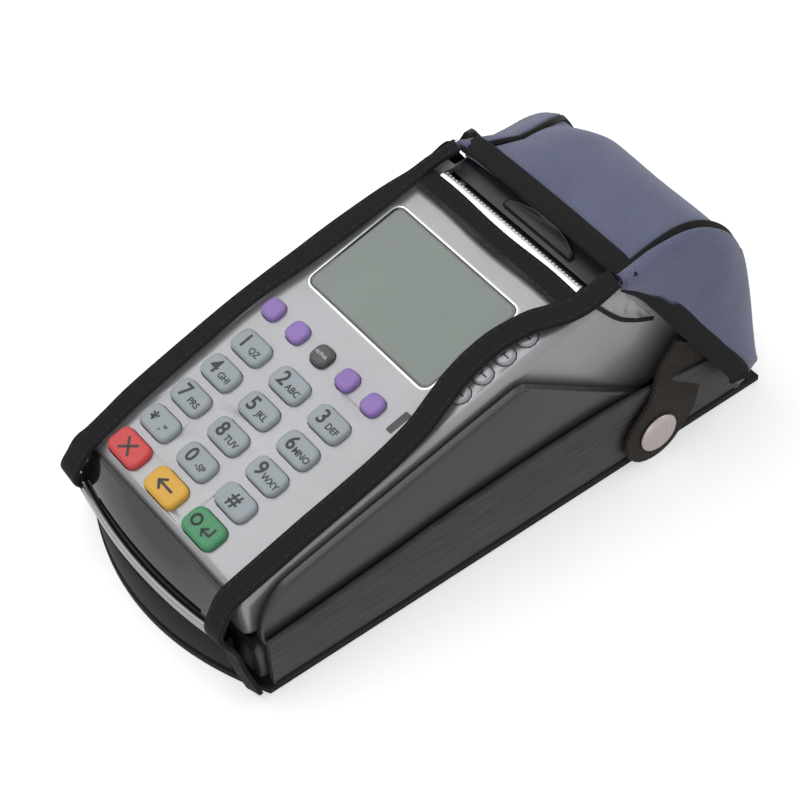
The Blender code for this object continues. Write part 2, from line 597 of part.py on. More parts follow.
def tape_stations(edge, side):
    """Stations along the face, then down the front, spreading outwards to the lower corner."""
    stations = []
    for s, inner_x, outer_x in edge:
        stations.append((face_point(inner_x, s, TAPE_LOW), face_point(outer_x, s, TAPE_LOW), FACE_UP))
    last = edge[-1][1]
    for forward, z, spread in FRONT_DROP:
        x = last + side * spread
        outer_x = x + side * TAPE_WIDTH
        inner_y = min(front_y - 1.6 - bow(x, 7.6, 50) - 1.2, case_front_edge(x) - 0.6)
        outer_y = min(front_y - 1.6 - bow(outer_x, 7.6, 50) - 1.2, case_front_edge(outer_x) - 0.6)
        reach = min(1.0, forward / 8.0)
        stations.append(((x, front_y - 2.4 + (inner_y - front_y + 2.4) * reach, z),
                         (outer_x, front_y - 2.4 + (outer_y - front_y + 2.4) * reach, z),
                         (0, -1, 0.7 * (1 - reach))))
    return stations


ribbon("binding_tape_right", tape_stations(RIGHT_TAPE, 1), TAPE_THICK, TAPE)
ribbon("binding_tape_left", tape_stations(LEFT_TAPE, -1), TAPE_THICK, TAPE)


def edge_x(edge, s):
    for (s1, x1, _), (s0, x0, _) in zip(edge, edge[1:]):
        if s0 <= s <= s1:
            return x0 + (x1 - x0) * (s - s0) / (s1 - s0)
    return edge[-1][1]


film_stations = []
for s in (99.4, 93.0, 88.3, 78.2, 69.0, 61.0, 52.0, 42.2, 30.0, 16.8, -2.5, -20.0, -30.8):
    film_stations.append((face_point(edge_x(LEFT_TAPE, s) + 0.5, s, FILM_LOW),
                          face_point(edge_x(RIGHT_TAPE, s) - 0.5, s, FILM_LOW), FACE_UP))
ribbon("film_window", film_stations, FILM_THICK, FILM)

# --- hood ---------------------------------------------------------------------------------
HOOD_BACK = [(-49.1, 80.0), (-40.5, 81.8), (-30.9, HOOD_RISE), (-22.5, HOOD_RISE - 0.2), (-14.6, 80.6),
             (-7.5, 75.0), (-1.5, 67.0), (2.8, 55.6), (5.5, 43.2), (5.7, 30.0), (4.7, 19.0), (3.9, 14.6)]
HOOD_EDGE = [(-10.0, 14.6), (-10.7, 21.1), (-40.8, 69.1), (-49.1, 77.6)]     # from the casing's rear
hood_path = [(CASING_REAR + y, z) for y, z in HOOD_BACK]
hood_front = [(CASING_REAR + y, z) for y, z in HOOD_EDGE]
hood = prism("hood", hood_path + hood_front, "X", -70, 70, HOOD_CLOTH)


def hood_sides(name, inset, low, high):
    """Between the hood's sloping sides, as (z, x)."""
    def at(shoulder, low_x, z):
        slope = (low_x - shoulder[0][1]) / (shoulder[0][0] - HOOD_LOW_Z)
        return shoulder[0][1] + slope * (shoulder[0][0] - z)

    left = [(low, at(HOOD_LEFT, HOOD_LOW_X[0], low) + inset)]
    left += [(z - inset * 0.5, x + inset) for z, x in HOOD_LEFT]
    right = [(z, x - inset) for z, x in reversed(HOOD_RIGHT)]
    right.append((low, at(HOOD_RIGHT, HOOD_LOW_X[1], low) - inset))
    left.append((high, left[-1][1] + high - left[-1][0]))
    right.insert(0, (high, right[0][1]))
    return prism(name, left + right, "Y", 20, 130, HOOD_CLOTH)


boolean(hood, hood_sides("hood_side_trim", 0, 5, 95), "INTERSECT")
rear_trim = box("casing_rear_trim", (-70, 47.0, 30), (70, 130, 95), SILVER)
boolean(rear_trim, hood_sides("casing_shoulder", HOOD_WALL + 1.0, -5, 100))
boolean(upper, rear_trim)
inner_hood = offset_path(hood_path, HOOD_WALL)
inner_hood[0] = (30.0, inner_hood[0][1] - 3.0)
inner_hood[-1] = (inner_hood[-1][0], 5.0)
hood_hollow = prism("hood_hollow", inner_hood + [(40.0, 5.0)], "X", -70, 70, HOOD_CLOTH)
boolean(hood_hollow, hood_sides("hood_hollow_trim", HOOD_WALL, -5, 100), "INTERSECT")
boolean(hood, hood_hollow)

strap_way = Vector((0, STRAP_END[0] - SNAP_PLACE[0], STRAP_END[1] - SNAP_PLACE[1])).normalized()
strap_side = Vector((0, strap_way.z, -strap_way.y))
STRAP_RUN = (-11.9, -11.0, -9.2, -6.0, 0.0, 8.0, 15.0, 22.0, 31.0)
for side, outer_x, name in ((1, HOOD_LOW_X[1], "right"), (-1, HOOD_LOW_X[0], "left")):
    case_x = CASE_RIGHT if side > 0 else CASE_LEFT
    stations = []
    for run in STRAP_RUN:
        half = sqrt(max((STRAP_WIDTH / 2) ** 2 - min(run, 0) ** 2, 4.0))
        share = min(max((run - 8) / 14.0, 0.0), 1.0)
        x = (case_x + side * 1.3) * (1 - share) + (outer_x + side * 0.6) * share
        middle = Vector((x, *SNAP_PLACE)) + strap_way * run
        stations.append((middle - strap_side * half, middle + strap_side * half, (side, 0, 0)))
    ribbon("strap_" + name, stations, STRAP_THICK, WEBBING)
    snap_start = case_x + side * (1.3 + STRAP_THICK + 0.8)
    ends = sorted((snap_start, snap_start + side * SNAP_THICK))
    prism("snap_cap_" + name, circle(SNAP_PLACE, SNAP_RADIUS, 24), "X", *ends, NICKEL)

# --- cover lever --------------------------------------------------------------------------
LEVER_X = (-10.5, 22.5)
LEVER_PIVOT = (52.2, 74.7)
lever_outline = [(46.8, 73.0), (50.0, 73.8), (52.2, 74.0), (52.2, 75.4), (49.6, 75.6), (46.4, 74.6)]
prism("cover_latch", lever_outline, "X", *LEVER_X, GLOSS)


# --- pivots: what turns hangs from an empty on its joint's axis ----------------------------
def make_pivot(name, place):
    pivot = bpy.data.objects.new(name, None)
    pivot.empty_display_size = 8 * MM
    pivot.location = Vector(place) * MM
    parts.objects.link(pivot)
    return pivot


def hang(pivot, *pieces):
    """Parents pieces, and the cutters that shape them, to a pivot without moving them."""
    for piece in pieces:
        piece.parent = pivot
        piece.matrix_parent_inverse = Matrix.Translation(-pivot.location)
        hang(pivot, *[m.object for m in piece.modifiers if m.type == "BOOLEAN"])


node = bpy.data.objects
hood_pivot = make_pivot("hood_pivot", (0, *HOOD_HINGE))
hang(hood_pivot, *[node[name] for name in ("hood", "strap_right", "strap_left", "snap_cap_right",
                                           "snap_cap_left")])
cover_pivot = make_pivot("cover_pivot", (PAPER_X, *COVER_HINGE))
platen_pivot = make_pivot("platen_pivot", (PAPER_X, *PLATEN))
lever_pivot = make_pivot("lever_pivot", (sum(LEVER_X) / 2, *LEVER_PIVOT))
hang(cover_pivot, cover, platen_pivot, lever_pivot)
hang(platen_pivot, platen, node["platen_gear"])
hang(lever_pivot, node["cover_latch"])
hang(make_pivot("motor_pivot", (sum(GEAR_X) / 2, *MOTOR_AXIS)), node["motor_gear"])
hang(make_pivot("roll_pivot", (PAPER_X, *ROLL_CENTRE)), node["paper_roll"])
hang(make_pivot("read_head_pivot", (CASING_RIGHT - 2.0, sum(HEAD_Y) / 2, sum(HEAD_Z) / 2)),
     node["mag_read_head"])
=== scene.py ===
import json
from math import asin, cos, pi, radians, sin, sqrt
import bmesh
import bpy
from mathutils import Matrix, Vector

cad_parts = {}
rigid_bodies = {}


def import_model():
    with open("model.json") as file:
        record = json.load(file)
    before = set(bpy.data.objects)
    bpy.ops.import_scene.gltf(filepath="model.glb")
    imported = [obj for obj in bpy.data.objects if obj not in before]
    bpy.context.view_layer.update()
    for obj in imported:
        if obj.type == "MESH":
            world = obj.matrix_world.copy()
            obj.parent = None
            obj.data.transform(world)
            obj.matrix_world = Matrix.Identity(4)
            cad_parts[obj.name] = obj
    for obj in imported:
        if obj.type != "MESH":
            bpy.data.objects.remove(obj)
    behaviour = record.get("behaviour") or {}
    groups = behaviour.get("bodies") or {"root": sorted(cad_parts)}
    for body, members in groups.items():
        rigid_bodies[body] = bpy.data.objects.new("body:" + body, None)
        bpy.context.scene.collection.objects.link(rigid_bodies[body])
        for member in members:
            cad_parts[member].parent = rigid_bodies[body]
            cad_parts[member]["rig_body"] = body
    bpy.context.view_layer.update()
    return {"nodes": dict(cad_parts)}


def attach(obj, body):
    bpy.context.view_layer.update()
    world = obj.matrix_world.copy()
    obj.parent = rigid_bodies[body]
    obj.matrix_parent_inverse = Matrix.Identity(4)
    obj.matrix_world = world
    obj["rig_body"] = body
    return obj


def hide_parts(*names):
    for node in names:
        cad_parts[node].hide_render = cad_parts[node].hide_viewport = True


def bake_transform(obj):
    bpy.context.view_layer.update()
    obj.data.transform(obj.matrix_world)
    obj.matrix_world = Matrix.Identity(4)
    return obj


for old in list(bpy.data.objects):
    bpy.data.objects.remove(old)
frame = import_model()
mm = 0.001
print("frame loaded")

# ---- camera, floor and light
view = {"azimuth": 55.2, "elevation": 48.55, "roll": -3.56, "distance": 792.5, "target": (-19.15, 9.66, 0),
        "lens": 108}


def placeCamera():
    az, el, roll = (radians(view[key]) for key in ("azimuth", "elevation", "roll"))
    forward = Vector((-sin(az) * cos(el), cos(az) * cos(el), -sin(el)))
    right = Vector((cos(az), sin(az), 0))
    up = right.cross(forward)
    side = right * cos(roll) + up * sin(roll)
    top = up * cos(roll) - right * sin(roll)
    data = bpy.data.cameras.new("camera")
    data.lens = view["lens"]
    data.clip_start = 0.01
    camera = bpy.data.objects.new("camera", data)
    bpy.context.scene.collection.objects.link(camera)
    spot = Vector(view["target"]) * mm - forward * view["distance"] * mm
    camera.matrix_world = Matrix.Translation(spot) @ Matrix((side, top, -forward)).transposed().to_4x4()
    bpy.context.scene.camera = camera


placeCamera()

studio = {"floorSize": 6.0, "floorColour": (0.93, 0.93, 0.93), "worldColour": (1.0, 1.0, 1.0),
          "worldStrength": 0.34, "seenWhite": 0.52}
lamps = {"key": {"place": (-0.5, -0.25, 1.0), "size": 0.9, "power": 4.0},
         "fill": {"place": (0.9, -0.7, 0.7), "size": 0.8, "power": 1.6},
         "back": {"place": (0.2, 1.0, 0.8), "size": 0.7, "power": 1.9}}


def newObject(name, mesh):
    piece = bpy.data.objects.new(name, mesh)
    bpy.context.scene.collection.objects.link(piece)
    return piece


def nodeKit(name):
    # an empty node tree with a shader, and helpers to add and join nodes
    material = bpy.data.materials.new(name)
    material.use_nodes = True
    tree = material.node_tree
    tree.nodes.clear()
    out = tree.nodes.new("ShaderNodeOutputMaterial")
    shader = tree.nodes.new("ShaderNodeBsdfPrincipled")
    tree.links.new(shader.outputs[0], out.inputs["Surface"])

    def add(kind, **values):
        node = tree.nodes.new(kind)
        for key, value in values.items():
            if hasattr(node, key):
                setattr(node, key, value)
            else:
                node.inputs[key.replace("_", " ")].default_value = value
        return node

    return material, tree, shader, add


def seenDirectly(tree, add):
    # 1 where the camera, a reflection or a clear piece looks straight at it, otherwise 0
    path = add("ShaderNodeLightPath")
    both = add("ShaderNodeMath", operation="ADD")
    every = add("ShaderNodeMath", operation="ADD", use_clamp=True)
    tree.links.new(path.outputs["Is Camera Ray"], both.inputs[0])
    tree.links.new(path.outputs["Is Glossy Ray"], both.inputs[1])
    tree.links.new(both.outputs[0], every.inputs[0])
    tree.links.new(path.outputs["Is Transmission Ray"], every.inputs[1])
    return every.outputs[0]


def buildStudio():
    bm = bmesh.new()
    bmesh.ops.create_grid(bm, x_segments=1, y_segments=1, size=studio["floorSize"] / 2)
    mesh = bpy.data.meshes.new("floor")
    bm.to_mesh(mesh)
    bm.free()
    floor = newObject("floor", mesh)
    material, tree, shader, add = nodeKit("floorPaper")
    shader.inputs["Base Color"].default_value = (*studio["floorColour"], 1)
    shader.inputs["Roughness"].default_value = 0.9
    shader.inputs["Specular IOR Level"].default_value = 0.1
    shader.inputs["Emission Color"].default_value = (1, 1, 1, 1)
    glow = add("ShaderNodeMath", operation="MULTIPLY")
    tree.links.new(seenDirectly(tree, add), glow.inputs[0])
    glow.inputs[1].default_value = studio["seenWhite"]
    tree.links.new(glow.outputs[0], shader.inputs["Emission Strength"])
    mesh.materials.append(material)
    for name, lamp in lamps.items():
        data = bpy.data.lights.new(name, "AREA")
        data.energy = lamp["power"]
        data.shape = "DISK"
        data.size = lamp["size"]
        light = bpy.data.objects.new(name, data)
        bpy.context.scene.collection.objects.link(light)
        light.location = lamp["place"]
        light.rotation_euler = (-Vector(lamp["place"])).to_track_quat("-Z", "Y").to_euler()
    world = bpy.data.worlds.new("world")
    bpy.context.scene.world = world
    world.use_nodes = True
    background = world.node_tree.nodes["Background"]
    background.inputs["Color"].default_value = (*studio["worldColour"], 1)


    def addWorld(kind, **values):
        node = world.node_tree.nodes.new(kind)
        for key, value in values.items():
            setattr(node, key, value)
        return node

    level = addWorld("ShaderNodeMapRange")
    level.inputs["To Min"].default_value = studio["worldStrength"]
    world.node_tree.links.new(seenDirectly(world.node_tree, addWorld), level.inputs["Value"])
    world.node_tree.links.new(level.outputs[0], background.inputs["Strength"])
    bpy.context.scene.view_settings.view_transform = "Standard"


buildStudio()
print("studio built")


# ---- finishes
def plasticFinish(name, colour, rough, metallic=0.0, grain=900.0, grainDepth=0.04, mottle=0.05, coat=0.0):
    # moulded or painted plastic with a fine grain and a little colour change
    material, tree, shader, add = nodeKit(name)
    spot = add("ShaderNodeTexCoord")
    fine = add("ShaderNodeTexNoise", Scale=grain, Detail=3.0)
    broad = add("ShaderNodeTexNoise", Scale=35.0, Detail=4.0)
    tree.links.new(spot.outputs["Object"], fine.inputs["Vector"])
    tree.links.new(spot.outputs["Object"], broad.inputs["Vector"])
    bump = add("ShaderNodeBump", Strength=0.25, Distance=grainDepth * mm)
    tree.links.new(fine.outputs["Fac"], bump.inputs["Height"])
    tree.links.new(bump.outputs["Normal"], shader.inputs["Normal"])
    ramp = add("ShaderNodeValToRGB")
    ramp.color_ramp.elements[0].position = 0.3
    ramp.color_ramp.elements[1].position = 0.7
    ramp.color_ramp.elements[0].color = (*[c * (1 - mottle) for c in colour], 1)
    ramp.color_ramp.elements[1].color = (*[min(1, c * (1 + mottle)) for c in colour], 1)
    tree.links.new(broad.outputs["Fac"], ramp.inputs["Fac"])
    tree.links.new(ramp.outputs["Color"], shader.inputs["Base Color"])
    wear = add("ShaderNodeMapRange", To_Min=rough * 0.85, To_Max=min(1.0, rough * 1.2))
    tree.links.new(fine.outputs["Fac"], wear.inputs["Value"])
    tree.links.new(wear.outputs["Result"], shader.inputs["Roughness"])
    shader.inputs["Metallic"].default_value = metallic
    shader.inputs["Coat Weight"].default_value = coat
    return material


def clothFinish(name, colour, litCrestColour, pitch, depth, slant=1.0, rough=0.85, sheen=0.25,
                shine=0.5):
    # two crossed sets of threads, pitch in mm, read from the piece's own UV map in metres
    material, tree, shader, add = nodeKit(name)
    uv = add("ShaderNodeUVMap", uv_map="threads")
    split = add("ShaderNodeSeparateXYZ")
    tree.links.new(uv.outputs["UV"], split.inputs["Vector"])

    def math(operation, a, b):
        node = add("ShaderNodeMath", operation=operation)
        for socket, value in zip(node.inputs, (a, b)):
            if isinstance(value, (int, float)):
                socket.default_value = value
            else:
                tree.links.new(value, socket)
        return node.outputs[0]

    turns = 2 * pi / (pitch * mm)
    leaning = math("MULTIPLY", split.outputs["Y"], slant)
    one = math("SINE", math("MULTIPLY", math("ADD", split.outputs["X"], leaning), turns), 0)
    two = math("SINE", math("MULTIPLY", math("SUBTRACT", math("MULTIPLY", split.outputs["X"], slant),
                                             split.outputs["Y"]), turns), 0)
    weave = math("ADD", math("MULTIPLY", one, 0.32), math("MULTIPLY", math("MULTIPLY", one, two), 0.22))
    height = math("ADD", weave, 0.5)
    # painted light and shade on the weave: the thread crests take the lit colour and the hollows between them
    # the shaded colour, following the same height as the bump
    ramp = add("ShaderNodeValToRGB")
    ramp.color_ramp.elements[0].color = (*colour, 1)
    ramp.color_ramp.elements[1].color = (*litCrestColour, 1)
    tree.links.new(height, ramp.inputs["Fac"])
    spot = add("ShaderNodeTexCoord")
    cloud = add("ShaderNodeTexNoise", Scale=60.0, Detail=5.0)
    tree.links.new(spot.outputs["Object"], cloud.inputs["Vector"])
    shift = add("ShaderNodeMapRange", To_Min=0.82, To_Max=1.18)
    tree.links.new(cloud.outputs["Fac"], shift.inputs["Value"])
    tint = add("ShaderNodeVectorMath", operation="SCALE")
    tree.links.new(ramp.outputs["Color"], tint.inputs[0])
    tree.links.new(shift.outputs["Result"], tint.inputs["Scale"])
    tree.links.new(tint.outputs["Vector"], shader.inputs["Base Color"])
    bump = add("ShaderNodeBump", Strength=0.7, Distance=depth * mm)
    tree.links.new(height, bump.inputs["Height"])
    tree.links.new(bump.outputs["Normal"], shader.inputs["Normal"])
    shader.inputs["Roughness"].default_value = rough
    shader.inputs["Sheen Weight"].default_value = sheen
    shader.inputs["Sheen Roughness"].default_value = 0.5
    shader.inputs["Specular IOR Level"].default_value = shine
    return material


def brushedFinish(name, colour, rough, stretch=(1, 1, 40), metallic=1.0, contrast=0.25, scale=160.0,
                  depth=0.05):
    # long fine streaks along one direction
    material, tree, shader, add = nodeKit(name)
    spot = add("ShaderNodeTexCoord")
    mapping = add("ShaderNodeMapping")
    mapping.inputs["Scale"].default_value = stretch
    streak = add("ShaderNodeTexNoise", Scale=scale, Detail=6.0, Roughness=0.65)
    tree.links.new(spot.outputs["Object"], mapping.inputs["Vector"])
    tree.links.new(mapping.outputs["Vector"], streak.inputs["Vector"])
    ramp = add("ShaderNodeValToRGB")
    ramp.color_ramp.elements[0].position = 0.32
    ramp.color_ramp.elements[1].position = 0.68
    ramp.color_ramp.elements[0].color = (*[c * (1 - contrast) for c in colour], 1)
    ramp.color_ramp.elements[1].color = (*[min(1, c * (1 + contrast)) for c in colour], 1)
    tree.links.new(streak.outputs["Fac"], ramp.inputs["Fac"])
    tree.links.new(ramp.outputs["Color"], shader.inputs["Base Color"])
    bump = add("ShaderNodeBump", Strength=0.4, Distance=depth * mm)
    tree.links.new(streak.outputs["Fac"], bump.inputs["Height"])
    tree.links.new(bump.outputs["Normal"], shader.inputs["Normal"])
    shader.inputs["Metallic"].default_value = metallic
    shader.inputs["Roughness"].default_value = rough
    return material


def filmFinish(name, low, high):
    material, tree, shader, add = nodeKit(name)
    spot = add("ShaderNodeTexCoord")
    ripple = add("ShaderNodeTexNoise", Scale=45.0, Detail=3.0)
    tree.links.new(spot.outputs["Object"], ripple.inputs["Vector"])
    bump = add("ShaderNodeBump", Strength=0.5, Distance=0.6 * mm)
    tree.links.new(ripple.outputs["Fac"], bump.inputs["Height"])
    tree.links.new(bump.outputs["Normal"], shader.inputs["Normal"])
    # painted sheen: a pale, partly opaque veil, strongest on the ripples' crests, stands in for the film's
    # reflections
    paintedSheen = add("ShaderNodeMapRange", To_Min=low, To_Max=high)
    tree.links.new(ripple.outputs["Fac"], paintedSheen.inputs["Value"])
    tree.links.new(paintedSheen.outputs["Result"], shader.inputs["Alpha"])
    shader.inputs["Base Color"].default_value = (0.9, 0.92, 0.94, 1)
    shader.inputs["Roughness"].default_value = 0.12
    return material


finish = {
    "silver": plasticFinish("silverPaint", (0.36, 0.36, 0.375), 0.36, metallic=0.35, grain=2600, coat=0.15),
    "dark": plasticFinish("darkPlastic", (0.030, 0.030, 0.033), 0.42, grain=1500),
    "wall": plasticFinish("wallPlastic", (0.040, 0.040, 0.043), 0.36, grain=2200),
    "chin": plasticFinish("chinPlastic", (0.020, 0.016, 0.014), 0.14, grain=300, grainDepth=0.01, coat=0.4),
    "gloss": plasticFinish("glossPlastic", (0.010, 0.010, 0.011), 0.10, grain=300, grainDepth=0.01, coat=0.5),
    "keyGrey": plasticFinish("keyGrey", (0.40, 0.455, 0.49), 0.45, grain=1800),
    "keyRed": plasticFinish("keyRed", (0.80, 0.035, 0.035), 0.42, grain=1800),
    "keyYellow": plasticFinish("keyYellow", (0.93, 0.50, 0.02), 0.42, grain=1800),
    "keyGreen": plasticFinish("keyGreen", (0.035, 0.30, 0.11), 0.42, grain=1800),
    "keyPurple": plasticFinish("keyPurple", (0.34, 0.19, 0.60), 0.42, grain=1800),
    "keyDark": plasticFinish("keyDark", (0.055, 0.057, 0.062), 0.45, grain=1800),
    "keySilver": plasticFinish("keySilver", (0.33, 0.34, 0.36), 0.35, metallic=0.3, grain=1800),
    "legend": plasticFinish("legendInk", (0.012, 0.014, 0.02), 0.6, grain=2500),
    "paleLegend": plasticFinish("paleInk", (0.65, 0.65, 0.66), 0.6, grain=2500),
    "bar": plasticFinish("greyBar", (0.045, 0.047, 0.052), 0.5, grain=2500),
    "glass": plasticFinish("displayGlass", (0.135, 0.185, 0.150), 0.16, grain=120, grainDepth=0.004,
                           mottle=0.06, coat=0.35),
    "rim": plasticFinish("brightRim", (0.78, 0.79, 0.80), 0.2, metallic=0.5, grain=1500),
    "board": plasticFinish("boardLacquer", (0.015, 0.12, 0.04), 0.4, grain=500, mottle=0.4),
    "rubber": plasticFinish("rubber", (0.02, 0.02, 0.02), 0.75, grain=900),
    "nylon": plasticFinish("nylon", (0.72, 0.71, 0.66), 0.45, grain=900),
    "paper": plasticFinish("paper", (0.82, 0.82, 0.80), 0.9, grain=700, mottle=0.03),
    "steel": brushedFinish("brushedSteel", (0.58, 0.58, 0.60), 0.28, (40, 1, 1)),
    "nickel": brushedFinish("brushedNickel", (0.44, 0.39, 0.38), 0.38, (1, 14, 1), contrast=0.12),
    "panel": brushedFinish("streakedPanel", (0.036, 0.032, 0.034), 0.55, (1, 1.2, 34), metallic=0.0,
                           contrast=0.75, scale=42.0, depth=0.25),
    # cloth pairs: the first colour is painted shade for the weave's hollows, the second painted light for the
    # thread crests
    "hood": clothFinish("hoodKnit", (0.115, 0.128, 0.215), (0.205, 0.222, 0.345), 0.9, 0.16),
    "tape": clothFinish("tapeWeave", (0.003, 0.003, 0.0035), (0.016, 0.015, 0.017), 0.75, 0.10, slant=0.0,
                        rough=0.8, sheen=0.03, shine=0.22),
    "webbing": clothFinish("webbingWeave", (0.012, 0.009, 0.007), (0.055, 0.045, 0.036), 1.5, 0.35,
                           rough=0.85, sheen=0.05, shine=0.25),
    "lining": clothFinish("liningCloth", (0.005, 0.005, 0.006), (0.018, 0.018, 0.019), 0.8, 0.08,
                          sheen=0.04, shine=0.25),
    "thread": plasticFinish("thread", (0.014, 0.014, 0.015), 0.6, grain=3000),
    # opacity ranges of the painted sheen: faint on the window, strong on the crinkled corner
    "film": filmFinish("clearFilm", 0.006, 0.03),
    "crinkled": filmFinish("crinkledFilm", 0.12, 0.45),
}
print("finishes made")

nodeFinish = {
    "swipe_wall": "wall", "lower_casing": "dark", "mag_read_head": "steel", "lcd_module": "board",
    "main_board": "board", "keypad_mat": "rubber", "printer_bezel": "gloss", "print_head": "dark",
    "feed_motor": "steel", "motor_gear": "nylon", "platen_gear": "nylon", "printer_cover": "dark",
    "cover_latch": "gloss", "platen_roller": "rubber", "paper_roll": "paper", "cover_hinge_pin": "steel",
    "printer_frame": "steel", "power_socket": "gloss", "line_socket": "gloss", "chip_card_reader": "dark",
    "display_lens": "glass", "upper_casing": "silver", "front_chin": "gloss", "tear_bar": "steel",
}
for node, look in nodeFinish.items():
    data = frame["nodes"][node].data
    data.materials.clear()
    data.materials.append(finish[look])


# ---- shared shapes
def makePiece(name, verts, faces, look, body="terminal", replaces=(), uvs=None, angle=40,
              recalc=True):
    bm = bmesh.new()
    points = [bm.verts.new(Vector(v) * mm) for v in verts]
    layer = bm.loops.layers.uv.new("threads") if uvs else None
    for face in faces:
        try:
            made = bm.faces.new([points[i] for i in face])
        except ValueError:
            continue
        if uvs:
            for loop, i in zip(made.loops, face):
                loop[layer].uv = (uvs[i][0] * mm, uvs[i][1] * mm)
    if recalc:
        bmesh.ops.recalc_face_normals(bm, faces=bm.faces)
    mesh = bpy.data.meshes.new(name)
    bm.to_mesh(mesh)
    bm.free()
    mesh.shade_smooth()
    mesh.set_sharp_from_angle(angle=radians(angle))
    mesh.materials.append(finish[look])
    piece = newObject(name, mesh)
    return settle(piece, body, replaces)


def settle(piece, body, replaces=()):
    if replaces:
        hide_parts(*replaces)
    if body:
        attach(piece, body)
    return piece


def smoothRoute(points, steps):
    # a smooth line through points of any dimension, with steps between each two
    points = [Vector(p) for p in points]
    route = []
    for i in range(len(points) - 1):
        p0 = points[i - 1] if i else points[0] * 2 - points[1]
        p3 = points[i + 2] if i + 2 < len(points) else points[-1] * 2 - points[-2]
        p1, p2 = points[i], points[i + 1]
        for k in range(steps):
            t = k / steps
            route.append(0.5 * (2 * p1 + (p2 - p0) * t + (2 * p0 - 5 * p1 + 4 * p2 - p3) * t * t
                                + (3 * p1 - p0 - 3 * p2 + p3) * t ** 3))
    route.append(points[-1])
    return route


def evenRoute(route, spacing):
    # the same line with points the same distance apart, measured on the first three values
    lengths = [0.0]
    for a, b in zip(route, route[1:]):
        lengths.append(lengths[-1] + (Vector(b[:3]) - Vector(a[:3])).length)
    count = max(2, round(lengths[-1] / spacing))
    even, k = [], 0
    for i in range(count + 1):
        along = lengths[-1] * i / count
        while k < len(lengths) - 2 and lengths[k + 1] < along:
            k += 1
        span = lengths[k + 1] - lengths[k]
        share = (along - lengths[k]) / span if span else 0
        even.append(route[k].lerp(route[k + 1], min(1, max(0, share))))
    return even


def bandProfile(width, thick, corner, steps=4):
    # rounded rectangle across a band, from -width/2 to width/2 and from 0 to thick
    points = []
    for turn, (sx, sy) in enumerate(((1, 1), (-1, 1), (-1, 0), (1, 0))):
        cx = sx * (width / 2 - corner)
        cy = thick - corner if sy else corner
        for i in range(steps + 1):
            angle = turn * pi / 2 + i * pi / 2 / steps
            points.append((cx + corner * cos(angle), cy + corner * sin(angle)))
    return points


def band(name, route, ups, width, thick, look, body="terminal", replaces=(), rib=0.0,
         ribEvery=2, corner=None, widths=None):
    # a strap along a route of points, with its flat side facing the ups
    corner = corner or thick * 0.45
    verts, faces, uvs = [], [], []
    along = 0.0
    count = 0
    for i, point in enumerate(route):
        before, after = route[max(i - 1, 0)], route[min(i + 1, len(route) - 1)]
        tangent = (after - before).normalized()
        up = (ups[i] - tangent * ups[i].dot(tangent)).normalized()
        side = tangent.cross(up)
        if i:
            along += (point - route[i - 1]).length
        lift = rib if rib and i % ribEvery == 0 else 0.0
        wide = widths[i] if widths else width
        profile = bandProfile(wide, thick + lift, corner)
        count = len(profile)
        for u, v in profile:
            verts.append(point + side * u + up * v)
            uvs.append((u, along))
    for i in range(len(route) - 1):
        for j in range(count):
            k = (j + 1) % count
            faces.append((i * count + j, i * count + k, (i + 1) * count + k, (i + 1) * count + j))
    faces.append(tuple(range(count)))
    faces.append(tuple(range((len(route) - 1) * count, len(route) * count)))
    return makePiece(name, verts, faces, look, body, replaces, uvs, angle=60)


face = {"tilt": asin(0.261), "y": -62.0, "z": 44.7, "front": -31.9, "rear": 100.0}


def facePoint(x, s, h=0.0):
    return Vector((x, face["y"] + s * cos(face["tilt"]) - h * sin(face["tilt"]),
                   face["z"] + s * sin(face["tilt"]) + h * cos(face["tilt"])))


faceUp = facePoint(0, 0, 1) - facePoint(0, 0)
faceTurn = Matrix.Rotation(face["tilt"], 4, "X")


def roundedOutline(width, depth, corner, steps=6):
    points = []
    for turn, (sx, sy) in enumerate(((1, 1), (-1, 1), (-1, -1), (1, -1))):
        for i in range(steps + 1):
            angle = turn * pi / 2 + i * pi / 2 / steps
            points.append((sx * (width / 2 - corner) + corner * cos(angle),
                           sy * (depth / 2 - corner) + corner * sin(angle)))
    return points


def ringStack(name, rings, look, body, replaces=(), angle=40, capStart=True, capEnd=True):
    count = len(rings[0])
    verts = [p for ring in rings for p in ring]
    faces = [(i * count + j, i * count + (j + 1) % count, (i + 1) * count + (j + 1) % count,
              (i + 1) * count + j) for i in range(len(rings) - 1) for j in range(count)]
    if capStart:
        faces.append(tuple(range(count)))
    if capEnd:
        faces.append(tuple(range((len(rings) - 1) * count, len(rings) * count)))
    return makePiece(name, verts, faces, look, body, replaces, angle=angle)


# ---- keys and their legends
keys = {"pitchX": 20.2, "pitchS": 12.13, "middle": -7.7, "size": (14.2, 8.7), "wide": (14.9, 9.4),
        "corner": 2.9, "proud": 1.95, "depth": 4.0, "function": 7.2, "functionPitch": 12.8,
        "functionS": 37.8, "soft": 6.7, "softX": 34.1, "softProud": 1.0,
        "softPlaces": (58.6, 67.6, 76.5, 85.2), "digitSize": 7.0, "letterSize": 3.1}
keyRows = ((("1", "QZ"), ("2", "ABC"), ("3", "DEF")), (("4", "GHI"), ("5", "JKL"), ("6", "MNO")),
           (("7", "PRS"), ("8", "TUV"), ("9", "WXY")), (("star", ",'\""), ("0", "-SP"), ("hash", "")),
           (("cancel", ""), ("clear", ""), ("enter", "")))
keyLook = {"cancel": "keyRed", "clear": "keyYellow", "enter": "keyGreen"}


